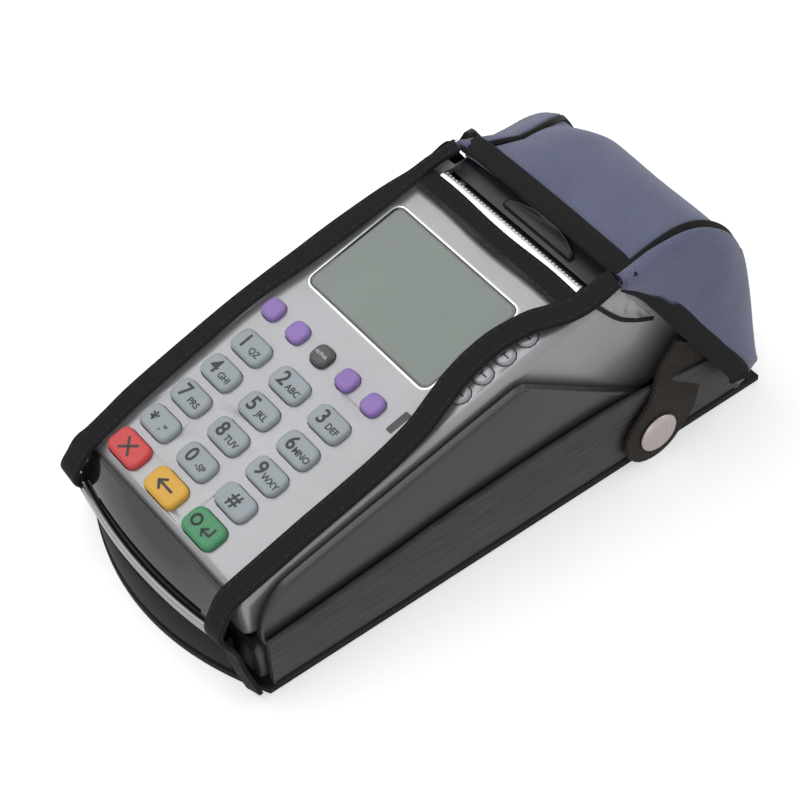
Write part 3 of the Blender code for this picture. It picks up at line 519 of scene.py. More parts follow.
def keyCap(name, x, s, size, corner, proud, look, dish=0.06):
    edge = 1.15
    rings = [[facePoint(x + u, s + v, -keys["depth"]) for u, v in roundedOutline(*size, corner)]]
    for i in range(6):
        turn = i / 5 * pi / 2
        inset = edge * (1 - cos(turn))
        h = proud - edge * 0.8 + edge * 0.8 * sin(turn)
        outline = roundedOutline(size[0] - 2 * inset, size[1] - 2 * inset, max(0.4, corner - inset))
        rings.append([facePoint(x + u, s + v, h) for u, v in outline])
    for inset, drop in ((edge + 0.9, dish * 0.35), (edge + 2.0, dish * 0.8)):
        outline = roundedOutline(size[0] - 2 * inset, size[1] - 2 * inset, max(0.3, corner - inset))
        rings.append([facePoint(x + u, s + v, proud - drop) for u, v in outline])
    return ringStack(name + "_cap", rings, look, name, replaces=(name,))


def writeOn(name, text, x, s, size, body, look, height, bold=0.02, shear=0.0, align="CENTER"):
    # flat raised lettering on the face, made a mesh before it is placed
    curve = bpy.data.curves.new(name, "FONT")
    curve.body = text
    curve.size = size * mm
    curve.shear = shear
    curve.offset = bold * size * mm
    curve.extrude = 0.02 * mm
    curve.resolution_u = 3
    curve.align_x = align
    curve.align_y = "CENTER"
    words = bpy.data.objects.new(name + "_curve", curve)
    bpy.context.scene.collection.objects.link(words)
    mesh = bpy.data.meshes.new_from_object(words.evaluated_get(bpy.context.evaluated_depsgraph_get()))
    bpy.data.objects.remove(words)
    mesh.name = name
    mesh.transform(Matrix.Translation(facePoint(x, s, height) * mm) @ faceTurn)
    mesh.materials.clear()
    mesh.materials.append(finish[look])
    return settle(newObject(name, mesh), body)


def strokeOn(name, lines, x, s, thick, body, look, height):
    # round-ended strokes laid on a key, as flat bars
    verts, faces = [], []
    for line in lines:
        line = [Vector((p[0], p[1])) for p in line]
        for a, b in zip(line, line[1:]):
            way = (b - a).normalized()
            side = Vector((-way.y, way.x)) * thick / 2
            start = len(verts)
            corners = [a - way * thick * 0.3 + side, a - way * thick * 0.3 - side,
                       b + way * thick * 0.3 - side, b + way * thick * 0.3 + side]
            for h in (height, height + 0.05):
                verts += [facePoint(x + c.x, s + c.y, h) for c in corners]
            for quad in ((0, 1, 2, 3), (7, 6, 5, 4), (0, 4, 5, 1), (1, 5, 6, 2), (2, 6, 7, 3), (3, 7, 4, 0)):
                faces.append(tuple(start + i for i in quad))
    return makePiece(name, verts, faces, look, body, recalc=False)


def circleLine(cx, cy, radius, start=0, end=2 * pi, count=14):
    return [(cx + radius * cos(start + (end - start) * i / count),
             cy + radius * sin(start + (end - start) * i / count)) for i in range(count + 1)]


symbols = {
    "cancel": [[(-2.4, -2.2), (2.4, 2.2)], [(-2.4, 2.2), (2.4, -2.2)]],
    "clear": [[(3.4, 0), (-3.0, 0)], [(-0.9, 1.9), (-3.2, 0), (-0.9, -1.9)]],
    "enter": [circleLine(-3.4, 0.2, 1.7), [(4.0, 2.0), (4.0, -0.8), (0.6, -0.8)],
              [(2.0, 0.7), (0.4, -0.8), (2.0, -2.2)]],
}


def buildKeys():
    for row, labels in enumerate(keyRows):
        for column, (label, letters) in enumerate(labels):
            body = "key_" + label
            x = keys["middle"] + (column - 1) * keys["pitchX"]
            s = -(row - 2) * keys["pitchS"]
            size = keys["wide"] if label in keyLook else keys["size"]
            keyCap(body, x, s, size, keys["corner"], keys["proud"], keyLook.get(label, "keyGrey"))
            top = keys["proud"] + 0.02
            if label in symbols:
                strokeOn(body + "_symbol", symbols[label], x, s, 0.85, body, "legend", top)
                continue
            sign = {"star": "*", "hash": "#"}.get(label, label)
            shift = -2.6 if letters else 0
            drop = -1.2 if sign == "*" else 0
            writeOn(body + "_digit", sign, x + shift, s + drop + 0.1, keys["digitSize"], body, "legend", top)
            if letters:
                writeOn(body + "_letters", letters, x + 3.1, s - 0.9, keys["letterSize"], body, "legend",
                        top)
    for i in range(5):
        body = f"function_key_{i + 1}"
        x = keys["middle"] - 0.6 + (i - 2) * keys["functionPitch"]
        size = (keys["function"],) * 2
        keyCap(body, x, keys["functionS"], size, keys["function"] * 0.36, keys["proud"],
               "keyDark" if i == 2 else "keyPurple")
        if i == 2:
            writeOn(body + "_letters", "ALPHA", x, keys["functionS"], 1.7, body, "paleLegend",
                    keys["proud"] + 0.02)
    for i, s in enumerate(keys["softPlaces"]):
        body = f"soft_key_{i + 1}"
        size = (keys["soft"],) * 2
        keyCap(body, keys["softX"], s, size, keys["soft"] / 2 - 0.01, keys["softProud"], "keySilver")
        strokeOn(body + "_mark", [[(-1.2, 0), (1.2, 0)], [(-1.2, -0.9), (-1.2, 0.9)]], keys["softX"] + 0.6,
                 s, 0.45, body, "legend", keys["softProud"] + 0.02)


buildKeys()
print("keys built")

# ---- display rim and printed bar
window = {"left": -34.7, "right": 24.7, "low": 52.2, "high": 89.8, "corner": 2.6, "rim": 0.9, "border": 0.55,
          "rimProud": 0.22}


def displayRim():
    x, s = (window["left"] + window["right"]) / 2, (window["low"] + window["high"]) / 2
    wide, deep = window["right"] - window["left"], window["high"] - window["low"]
    rings = []
    for grow, h in ((0.36, -0.4), (0.36, 0.12), (0.55, window["rimProud"]),
                    (window["rim"] + 0.2, window["rimProud"]), (window["rim"] + 0.5, 0.02)):
        outline = roundedOutline(wide + 2 * grow, deep + 2 * grow, window["corner"] + grow)
        rings.append([facePoint(x + u, s + v, h) for u, v in outline])
    ringStack("display_rim", rings, "rim", "terminal", capStart=False, capEnd=False)
    rings = []
    for inset, h in ((0.0, 0.02), (window["border"], 0.03)):
        outline = roundedOutline(wide - 2 * inset, deep - 2 * inset, window["corner"] - inset / 2)
        rings.append([facePoint(x + u, s + v, h) for u, v in outline])
    ringStack("display_border", rings, "gloss", "terminal", capStart=False, capEnd=False)


displayRim()
bar = {"x": 27.6, "s": 39.5, "size": (2.6, 8.4)}


def printedBar():
    outline = roundedOutline(*bar["size"], 0.5)
    rings = [[facePoint(bar["x"] + u, bar["s"] + v, h) for u, v in outline] for h in (0.01, 0.07)]
    ringStack("printed_bar", rings, "bar", "terminal")


printedBar()


# ---- casing shells: the fixed frame's own shapes, shaded as moulded
def smoothShell(node, name, look, angle=32):
    mesh = frame["nodes"][node].data.copy()
    bm = bmesh.new()
    bm.from_mesh(mesh)
    bmesh.ops.remove_doubles(bm, verts=bm.verts, dist=0.002 * mm)
    bm.to_mesh(mesh)
    bm.free()
    mesh.name = name
    mesh.shade_smooth()
    mesh.set_sharp_from_angle(angle=radians(angle))
    mesh.materials.clear()
    mesh.materials.append(finish[look])
    piece = newObject(name, mesh)
    even = piece.modifiers.new("evenNormals", "WEIGHTED_NORMAL")
    even.keep_sharp = True
    even.weight = 100
    body = frame["nodes"][node]["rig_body"]
    return settle(piece, body, replaces=(node,))


smoothShell("upper_casing", "silver_shell", "silver")
smoothShell("printer_cover", "cover_shell", "dark")
smoothShell("lower_casing", "base_shell", "dark")

# ---- swipe wall
swipe = {"inner": 43.4, "outer": 46.2, "edge": 0.9,
         "outline": [(-89.5, 19.65), (-89.8, 25.0), (-87.5, 32.5), (-80.5, 39.3), (-70.6, 42.4)]}


def swipeWall():
    # rounded nose, straight top edge level with the face, then a long slope to the rear
    nose = smoothRoute([(y, z, 0) for y, z in swipe["outline"]], 6)
    crest = smoothRoute([(p[0], p[1], 0) for p in ((-70.6, 42.4), (-30, 52.4), (2, 60.2), (9.5, 61.3),
                                                    (14.0, 58.8), (40.7, 38.4), (55.5, 27.6), (59.4, 23.8),
                                                    (60.0, 19.65))], 6)
    line = nose[:-1] + crest
    centre = Vector((-20, 32, 0))
    rings = []
    for x, inset in ((swipe["inner"], 0.0), (swipe["outer"] - swipe["edge"], 0.0),
                     (swipe["outer"] - 0.35 * swipe["edge"], 0.25), (swipe["outer"], 1.0)):
        ring = []
        for i, p in enumerate(line):
            before, after = line[max(i - 1, 0)], line[min(i + 1, len(line) - 1)]
            way = (after - before).normalized()
            inward = Vector((way.y, -way.x, 0))
            if inward.dot(centre - p) < 0:
                inward = -inward
            q = p + inward * inset
            ring.append(Vector((x, q.x, max(q.y, 19.65))))
        rings.append(ring)
    ringStack("swipe_guide", rings, "wall", "terminal", replaces=("swipe_wall",), angle=50)


swipeWall()

# ---- chin with the chip card slot
chin = {"left": -43.0, "right": 38.1, "middle": -1.0, "bow": 7.6, "half": 50.0, "low": 19.65, "high": 34.8,
        "slotHalf": 27.75, "slotZ": 24.5, "slotHigh": 1.6, "back": -93.15}


def chinPoint(x, z):
    fall = min(1.0, max(0.0, (chin["high"] - z) / (chin["high"] - chin["low"])))
    bowed = chin["bow"] * (1 - ((x - chin["middle"]) / chin["half"]) ** 2)
    return Vector((x, chin["back"] - 1.0 - bowed * sin(fall * pi / 2), z))


def chinShell():
    columns, rows = 60, 20
    slotLow, slotHigh = chin["slotZ"] - chin["slotHigh"] / 2, chin["slotZ"] + chin["slotHigh"] / 2
    heights = [chin["low"] + (slotLow - chin["low"]) * i / 5 for i in range(6)]
    heights += [slotHigh + (chin["high"] - slotHigh) * i / rows for i in range(rows + 1)]
    slotCells = range(1, columns)
    xs = [chin["left"] + (chin["right"] - chin["left"]) * i / columns for i in range(columns + 1)]
    nearest = [min(range(len(xs)), key=lambda i: abs(xs[i] - (chin["middle"] + side * chin["slotHalf"])))
               for side in (-1, 1)]
    verts, faces = [], []
    for z in heights:
        verts += [chinPoint(x, z) for x in xs]
    wide = len(xs)
    for r in range(len(heights) - 1):
        for c in range(columns):
            if r == 5 and nearest[0] <= c < nearest[1]:
                continue
            a = r * wide + c
            faces.append((a, a + 1, a + wide + 1, a + wide))
    start = len(verts)
    for z in (slotLow, slotHigh):
        verts += [Vector((xs[c], chin["back"], z)) for c in range(nearest[0], nearest[1] + 1)]
    deep = nearest[1] - nearest[0] + 1
    for c in range(deep - 1):
        front = 5 * wide + nearest[0] + c
        faces.append((front + 1, front, start + c, start + c + 1))
        front += wide
        faces.append((front, front + 1, start + deep + c + 1, start + deep + c))
    for c, k in ((0, 0), (deep - 1, nearest[1] - nearest[0])):
        front = 5 * wide + nearest[0] + k
        faces.append((front, front + wide, start + deep + c, start + c))
    top = len(verts)
    verts += [Vector((x, chin["back"], chin["high"] + 1.2)) for x in xs]
    last = (len(heights) - 1) * wide
    for c in range(columns):
        faces.append((last + c, last + c + 1, top + c + 1, top + c))
    makePiece("chin_shell", verts, faces, "chin", replaces=("front_chin",), angle=35)


chinShell()
lip = {"low": 18.9, "high": 22.8, "out": 1.6, "half": 37.5}


def silverLip():
    # bright lip that runs along the foot of the chin
    route, ups = [], []
    for i in range(49):
        x = chin["middle"] - lip["half"] + 2 * lip["half"] * i / 48
        p = chinPoint(x, chin["low"])
        route.append(Vector((x, p.y - 0.2, (lip["low"] + lip["high"]) / 2)))
        ups.append(Vector((0, -1, 0)))
    band("chin_lip", route, ups, lip["high"] - lip["low"], lip["out"], "silver", corner=0.78)


silverLip()
print("casing built")


# ---- geometry nodes for what repeats
def geometryTree(name, sizes):
    tree = bpy.data.node_groups.new(name, "GeometryNodeTree")
    tree.interface.new_socket("Geometry", in_out="INPUT", socket_type="NodeSocketGeometry")
    tree.interface.new_socket("Geometry", in_out="OUTPUT", socket_type="NodeSocketGeometry")
    for label, value in sizes.items():
        kind = "NodeSocketInt" if isinstance(value, int) else "NodeSocketFloat"
        socket = tree.interface.new_socket(label, in_out="INPUT", socket_type=kind)
        socket.default_value = value
    socket = tree.interface.new_socket("Material", in_out="INPUT", socket_type="NodeSocketMaterial")
    start = tree.nodes.new("NodeGroupInput")
    end = tree.nodes.new("NodeGroupOutput")

    def add(kind, links=None, **values):
        node = tree.nodes.new(kind)
        for key, value in values.items():
            setattr(node, key, value)
        for key, value in (links or {}).items():
            if isinstance(value, bpy.types.NodeSocket):
                tree.links.new(value, node.inputs[key])
            else:
                node.inputs[key].default_value = value
        return node

    return tree, start, end, add


def finishTree(tree, start, end, add, instances):
    real = add("GeometryNodeRealizeInstances", {"Geometry": instances})
    painted = add("GeometryNodeSetMaterial", {"Geometry": real.outputs[0],
                                              "Material": start.outputs["Material"]})
    tree.links.new(painted.outputs[0], end.inputs["Geometry"])
    return tree


def stitchTree():
    tree, start, end, add = geometryTree("stitchRow", {"Pitch": 3.0 * mm, "Length": 1.9 * mm,
                                                       "Thick": 0.28 * mm})
    curve = add("GeometryNodeMeshToCurve", {"Mesh": start.outputs["Geometry"]})
    even = add("GeometryNodeResampleCurve", {"Curve": curve.outputs[0], "Length": start.outputs["Pitch"]},
               mode="LENGTH")
    bead = add("GeometryNodeMeshUVSphere", {"Segments": 6, "Rings": 6, "Radius": 0.5})
    shape = add("ShaderNodeCombineXYZ", {"X": start.outputs["Thick"], "Y": start.outputs["Thick"],
                                         "Z": start.outputs["Length"]})
    sized = add("GeometryNodeTransform", {"Geometry": bead.outputs[0], "Scale": shape.outputs[0]})
    tangent = add("GeometryNodeInputTangent")
    turned = add("FunctionNodeAlignEulerToVector", {"Vector": tangent.outputs[0]}, axis="Z")
    placed = add("GeometryNodeInstanceOnPoints", {"Points": even.outputs[0], "Instance": sized.outputs[0],
                                                  "Rotation": turned.outputs[0]})
    return finishTree(tree, start, end, add, placed.outputs[0])


def toothTree():
    tree, start, end, add = geometryTree("toothRow", {"Count": 42, "Pitch": 1.55 * mm, "Wide": 1.55 * mm,
                                                      "High": 1.3 * mm, "Thick": 0.5 * mm})
    step = add("ShaderNodeCombineXYZ", {"X": start.outputs["Pitch"], "Y": 0.0, "Z": 0.0})
    line = add("GeometryNodeMeshLine", {"Count": start.outputs["Count"], "Offset": step.outputs[0]},
               mode="OFFSET")
    tooth = add("GeometryNodeMeshCone", {"Vertices": 4, "Radius Bottom": 0.7071, "Radius Top": 0.02,
                                         "Depth": 1.0})
    turn = add("GeometryNodeTransform", {"Geometry": tooth.outputs[0], "Rotation": (0, 0, pi / 4)})
    shape = add("ShaderNodeCombineXYZ", {"X": start.outputs["Wide"], "Y": start.outputs["Thick"],
                                         "Z": start.outputs["High"]})
    sized = add("GeometryNodeTransform", {"Geometry": turn.outputs[0], "Rotation": (0, 0, 0),
                                          "Scale": shape.outputs[0]})
    laid = add("GeometryNodeTransform", {"Geometry": sized.outputs[0], "Rotation": (-pi / 2, 0, 0)})
    placed = add("GeometryNodeInstanceOnPoints", {"Points": line.outputs[0], "Instance": laid.outputs[0]})
    return finishTree(tree, start, end, add, placed.outputs[0])


stitches = stitchTree()
teeth = toothTree()


def growNodes(name, mesh, tree, values, look, body, place=None):
    # runs a tree on a mesh, keeps the result as a plain mesh and settles it
    seed = newObject(name + "_seed", mesh)
    modifier = seed.modifiers.new("grow", "NODES")
    modifier.node_group = tree
    for item in tree.interface.items_tree:
        if item.in_out == "INPUT" and item.name in values:
            modifier[item.identifier] = values[item.name]
        if item.in_out == "INPUT" and item.name == "Material":
            modifier[item.identifier] = finish[look]
    graph = bpy.context.evaluated_depsgraph_get()
    made = bpy.data.meshes.new_from_object(seed.evaluated_get(graph))
    bpy.data.objects.remove(seed)
    made.name = name
    if place:
        made.transform(place)
    if not made.materials:
        made.materials.append(finish[look])
    made.shade_smooth()
    return settle(newObject(name, made), body)


def sewAlong(name, route, body="terminal", look="thread", pitch=3.0, length=1.9):
    mesh = bpy.data.meshes.new(name + "_line")
    mesh.from_pydata([tuple(p * mm) for p in route], [(i, i + 1) for i in range(len(route) - 1)], [])
    return growNodes(name, mesh, stitches, {"Pitch": pitch * mm, "Length": length * mm}, look, body)


# ---- printer mouth: tear bar and finger lever
tear = {"s": 108.6, "middle": 0.75, "half": 33.1, "count": 42, "plateFrom": 104.6, "plateTo": 107.6,
        "low": 0.9, "high": 1.5}


def tearBar():
    points = []
    for x in (tear["middle"] - tear["half"], tear["middle"] + tear["half"]):
        points.append([facePoint(x, s, h) for s, h in ((tear["plateFrom"], tear["low"]),
                                                       (tear["plateTo"], tear["low"]),
                                                       (tear["plateTo"], tear["high"] + 0.1),
                                                       (tear["plateTo"] - 0.7, tear["high"] + 0.35),
                                                       (tear["plateFrom"] + 0.3, tear["high"]),
                                                       (tear["plateFrom"], tear["high"] - 0.3))])
    ringStack("tear_plate", points, "steel", "terminal", replaces=("tear_bar",))
    pitch = 2 * tear["half"] / tear["count"]
    spot = facePoint(tear["middle"] - tear["half"] + pitch / 2, tear["plateTo"] + 0.55, 1.25)
    line = bpy.data.meshes.new("tear_teeth_line")
    growNodes("tear_teeth", line, teeth, {"Count": tear["count"], "Pitch": pitch * mm, "Wide": pitch * mm},
              "steel", "terminal", Matrix.Translation(spot * mm) @ faceTurn @ Matrix.Rotation(pi, 4, "Z")
              @ Matrix.Translation((-(tear["count"] - 1) * pitch * mm, 0, 0)))


tearBar()

lever = {"middle": 6.0, "half": 15.9, "front": 46.6, "side": 48.6, "crown": 52.1, "low": 0.55, "thick": 1.3}


def leverLow(y):
    # underside of the lever, a little above the cover
    return 72.43 + (y - 46.8) * 0.26 + lever["low"]


def fingerLever():
    # a thin plate with a straight front and an arched rear edge
    outline = [(lever["middle"] - lever["half"], lever["front"]),
               (lever["middle"] + lever["half"], lever["front"])]
    for i in range(25):
        u = 1 - 2 * i / 24
        rise = (lever["crown"] - lever["side"]) * (1 - abs(u) ** 2.2)
        outline.append((lever["middle"] + lever["half"] * u, lever["side"] + rise))
    middle = Vector((lever["middle"], (lever["front"] + lever["crown"]) / 2))
    rings = []
    for up, inset in ((0.25, 0.35), (0.0, 0.0), (lever["thick"] - 0.35, 0.0), (lever["thick"] - 0.1, 0.25),
                      (lever["thick"], 0.6), (lever["thick"] - 0.35, 1.2)):
        ring = []
        for x, y in outline:
            way = (middle - Vector((x, y))).normalized() * inset
            ring.append(Vector((x + way.x, y + way.y, leverLow(y + way.y) + up)))
        rings.append(ring)
    ringStack("cover_lever", rings, "dark", "cover_latch", replaces=("cover_latch",))


fingerLever()
print("printer built")

# ---- binding tapes of the carry case
tape = {"wide": 8.4, "thick": 1.45, "low": 1.4, "rib": 0.07, "step": 0.42, "riseFrom": 98.0, "rise": 4.0}
rightEdge = [(115.4, 38.0, 45.6), (106.0, 35.6, 44.0), (99.5, 33.4, 41.8), (93.0, 29.8, 38.2),
             (88.3, 27.4, 35.8), (78.2, 24.9, 33.3), (69.0, 24.7, 33.1), (61.0, 25.7, 34.1),
             (52.0, 28.0, 36.4),
             (42.2, 30.6, 39.0), (30.0, 32.0, 40.4), (16.8, 32.5, 40.9), (-2.5, 32.6, 41.0),
             (-20.0, 33.0, 41.4), (-29.0, 33.2, 41.6)]          # slope, inner edge, outer edge
leftEdge = [(115.4, -31.2, -36.6), (106.0, -34.8, -39.9), (99.5, -35.4, -41.2), (88.3, -35.6, -43.2),
            (70.0, -36.2, -44.9), (55.0, -37.4, -45.6), (46.0, -38.4, -46.1), (37.8, -39.2, -46.4),
            (26.4, -39.4, -46.6), (3.4, -38.4, -46.1), (-12.0, -37.6, -45.4), (-21.0, -36.6, -44.3),
            (-29.0, -35.8, -43.4)]
frontDrop = [(36.6, 0.0, 1.6), (33.0, 0.3, 4.6), (27.0, 1.0, 7.6), (19.0, 2.4, 9.6), (11.0, 4.8, 10.6),
             (2.2, 8.6, 11.0)]          # height, spread outwards, forward


def caseFrontEdge(x):
    return -104.5 + 13.0 * ((x - 0.15) / 49.25) ** 2


def tapeRoute(edge, side):
    points = []
    for s, inner, outer in edge:
        lift = tape["rise"] * max(0.0, (s - tape["riseFrom"]) / (edge[0][0] - tape["riseFrom"])) ** 1.5
        middle = facePoint((inner + outer) / 2, s, tape["low"] + lift)
        points.append((*middle, *faceUp, abs(outer - inner)))
    last = (edge[-1][1] + edge[-1][2]) / 2
    for z, spread, forward in frontDrop:
        x = last + side * spread
        y = -93.15 - forward
        y = max(y, caseFrontEdge(x) - 1.0) if z < 20 else y
        points.append((x, y, z, 0, -1, 0.5 if z > 30 else 0.15, tape["wide"]))
    return points


def bindTape(name, edge, side, node):
    route = smoothRoute([Vector(p) for p in tapeRoute(edge, side)], 14)
    route = evenRoute(route, tape["step"])
    spots = [Vector(p[:3]) for p in route]
    ups = [Vector(p[3:6]).normalized() for p in route]
    widths = [p[6] for p in route]
    band(name, spots, ups, tape["wide"], tape["thick"], "tape", replaces=(node,),
         rib=tape["rib"], corner=0.6, widths=widths)
    for part, shift in (("inner", -side), ("outer", side)):
        line = []
        for i in range(0, len(spots), 3):
            tangent = (spots[min(i + 1, len(spots) - 1)] - spots[max(i - 1, 0)]).normalized()
            across = tangent.cross(ups[i]).normalized()
            if across.x * shift < 0:
                across = -across
            line.append(spots[i] + across * (widths[i] / 2 - 1.3) + ups[i] * (tape["thick"] + 0.05))
        sewAlong(f"{name}_stitch_{part}", line)


bindTape("tape_right", rightEdge, 1, "binding_tape_right")
bindTape("tape_left", leftEdge, -1, "binding_tape_left")
crossTape = {"s": 101.4, "from": -35.6, "to": 34.2, "wide": 8.0, "thick": 1.2, "low": 1.3, "sag": 0.35}


def bindWindowTop():
    # the band sewn across the window's rear edge, from tape to tape
    route, ups = [], []
    count = round((crossTape["to"] - crossTape["from"]) / tape["step"])
    for i in range(count + 1):
        u = i / count
        x = crossTape["from"] + (crossTape["to"] - crossTape["from"]) * u
        route.append(facePoint(x, crossTape["s"] + 0.4 * sin(3 * pi * u), crossTape["low"] - crossTape["sag"]
                               * sin(pi * u)))
        ups.append(faceUp)
    band("tape_across", route, ups, crossTape["wide"], crossTape["thick"], "tape",
         rib=tape["rib"], corner=0.5)
    for part, shift in (("front", -1), ("rear", 1)):
        line = [p + Vector((0, cos(face["tilt"]), sin(face["tilt"]))) * shift * (crossTape["wide"] / 2 - 1.2)
                + faceUp * (crossTape["thick"] + 0.05) for p in route[::4]]
        sewAlong(f"tape_across_stitch_{part}", line)


bindWindowTop()
gusset = {"x": (-39.6, 42.4),
          "corners": [(39.0, 75.6), (48.2, 78.4), (52.1, 71.9), (63.4, 53.3), (55.9, 57.5),
                                 (48.4, 63.5)], "crinkle": 0.7, "edge": 1.5,
          "flat": (0.033, 0.0125)}


def sideGusset(side, right, look):
    # the loose corner between a tape and the hood, with a bound lower edge
    sign = 1 if right else -1
    top = smoothRoute([Vector((y, z, 0)) for y, z in gusset["corners"][:4]], 8)
    low = smoothRoute([Vector((y, z, 0)) for y, z in [gusset["corners"][0]] + gusset["corners"][:3:-1]
                       + [gusset["corners"][3]]], 6)
    top = evenRoute(top, 1.6)
    low = evenRoute(low, sum((b - a).length for a, b in zip(low, low[1:])) / (len(top) - 1))
    rows = []
    for i in range(min(len(top), len(low))):
        row = []
        for c in range(11):
            p = top[i].lerp(low[i], c / 10)
            fold = gusset["crinkle"] * sin(p.x * 0.9 + p.y * 0.35) * sin(p.y * 0.55 + 1.0) * sin(pi * c / 10)
            row.append(Vector((gusset["x"][right] + fold, p.x, p.y)))
        rows.append(row)
    verts = [p for row in rows for p in row]
    faces = [(r * 11 + c, r * 11 + c + 1, (r + 1) * 11 + c + 1, (r + 1) * 11 + c)
             for r in range(len(rows) - 1) for c in range(10)]
    piece = makePiece(f"gusset_{side}", verts, faces, look, None, angle=80)
    shell = piece.modifiers.new("thick", "SOLIDIFY")
    shell.thickness = 0.25 * mm
    settle(piece, "terminal")
    edge = [Vector((gusset["x"][right] - sign * 0.2, p.x, p.y)) for p in low]
    band(f"gusset_edge_{side}", edge, [Vector((sign, 0, 0))] * len(edge), gusset["edge"], 0.7, "tape",
         corner=0.3)


sideGusset("right", 1, "crinkled")
sideGusset("left", 0, "lining")


# ---- clear window
film = {"low": 2.3, "thick": 0.25, "wave": 0.25}


def edgeAt(edge, s):
    for (s1, x1, _), (s0, x0, _) in zip(edge, edge[1:]):
        if s0 <= s <= s1:
            return x0 + (x1 - x0) * (s - s0) / (s1 - s0)
    return edge[-1][1] if s < edge[-1][0] else edge[0][1]


def clearWindow():
    rows, columns = 90, 44
    verts, faces = [], []
    for r in range(rows + 1):
        s = -29.0 + (99.4 + 29.0) * r / rows
        left, right = edgeAt(leftEdge, s) - 0.3, edgeAt(rightEdge, s) + 0.3
        for c in range(columns + 1):
            u = c / columns
            x = left + (right - left) * u
            wave = sin(s * 0.21 + x * 0.05) * sin(x * 0.17 + 1.3 + s * 0.03) * sin(pi * u)
            verts.append(facePoint(x, s, film["low"] + film["wave"] * wave))
    wide = columns + 1
    for r in range(rows):
        for c in range(columns):
            a = r * wide + c
            faces.append((a, a + 1, a + wide + 1, a + wide))
    piece = makePiece("clear_window", verts, faces, "film", body=None,
                      replaces=("film_window",), angle=80)
    shell = piece.modifiers.new("thick", "SOLIDIFY")
    shell.thickness = film["thick"] * mm
    shell.offset = 1
    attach(piece, "terminal")


clearWindow()
print("window and tapes built")

# ---- hood
hood = {"wall": 2.0, "low": (22.0, (-53.2, 53.5)), "left": ((66.0, -44.9), (84.0, -28.9)),
        "right": ((77.0, 42.9), (84.0, 41.5)),          # height and place of each shoulder's two bends
        "path": [(49.4, 79.9), (58.0, 81.6), (67.6, 82.9), (76.0, 82.6), (83.9, 79.6), (91.0, 73.2),
                 (96.4, 64.8), (100.4, 54.4), (102.4, 44.0), (102.4, 32.0), (101.6, 22.0), (101.2, 14.8)],
        "front": [(49.4, 78.0), (57.7, 69.1), (72.7, 45.1), (87.8, 21.1), (89.0, 16.0), (96.0, 15.0),
                  (101.2, 14.8)],
        "slump": 8.5, "slumpFrom": -9.0, "slumpReach": 20.0, "turnIn": 6.0, "turnFrom": 84.0,
        "turnReach": 17.0,
        "binding": 7.6, "seamBinding": 5.2, "edgeBinding": 7.4, "bulge": 1.2}


def hoodSag(x, y, z):
    # how far the left shoulder has slumped: nothing at the front edge and low down
    along = min(1.0, max(0.0, (y - 49.4) / 20.0)) * min(1.0, max(0.0, (z - 40.0) / 35.0))
    return hood["slump"] * along * min(1.0, max(0.0, (hood["slumpFrom"] - x) / hood["slumpReach"])) ** 1.5


def hoodSideX(z, right, y=0.0):
    # the sides turn in towards the rear
    turn = hood["turnIn"] * max(0.0, (y - hood["turnFrom"]) / hood["turnReach"]) ** 2
    bend, top = hood["right"] if right else hood["left"]
    (z0, x0), (z1, x1) = (bend, top) if z > bend[0] else ((hood["low"][0], hood["low"][1][right]), bend)
    return x0 + (x1 - x0) * (z - z0) / (z1 - z0) - (turn if right else -turn)


def hoodLine(points, steps=10):
    return smoothRoute([Vector((y, z, 0)) for y, z in points], steps)


def gridPiece(name, rows, look, body, replaces=(), uvs=None, thick=None):
    wide = len(rows[0])
    verts = [p for row in rows for p in row]
    faces = [(r * wide + c, r * wide + c + 1, (r + 1) * wide + c + 1, (r + 1) * wide + c)
             for r in range(len(rows) - 1) for c in range(wide - 1)]
    piece = makePiece(name, verts, faces, look, None, replaces, uvs, angle=80, recalc=False)
    if thick:
        shell = piece.modifiers.new("thick", "SOLIDIFY")
        shell.thickness = thick * mm
        shell.offset = -1
    return settle(piece, body)


def hoodTop():
    line = hoodLine(hood["path"])
    rows, uvs = [], []
    along = 0.0
    columns = 48
    for i, p in enumerate(line):
        if i:
            along += (p - line[i - 1]).length
        y, z = p.x, p.y
        left, right = hoodSideX(z, 0, y), hoodSideX(z, 1, y)
        way = (line[min(i + 1, len(line) - 1)] - line[max(i - 1, 0)]).normalized()
        out = Vector((0, -way.y, way.x))
        if out.z < 0 and abs(out.z) > abs(out.y):
            out = -out
        row = []
        for c in range(columns + 1):
            u = c / columns
            edge = min(u, 1 - u) * (right - left)
            crown = 0.7 * sin(pi * u) - 1.6 * max(0.0, 1 - edge / 5.0) ** 2
            dimple = 0.35 * sin(u * 9 + along * 0.11) * sin(along * 0.16 + 0.4) * sin(pi * u)
            x = left + (right - left) * u
            row.append(Vector((x, y, z - hoodSag(x, y, z))) + out * (crown + dimple))
            uvs.append((left + (right - left) * u, along))
        rows.append(row)
    piece = gridPiece("hood_top", rows, "hood", "hood", ("hood",), uvs, hood["wall"])
    return rows


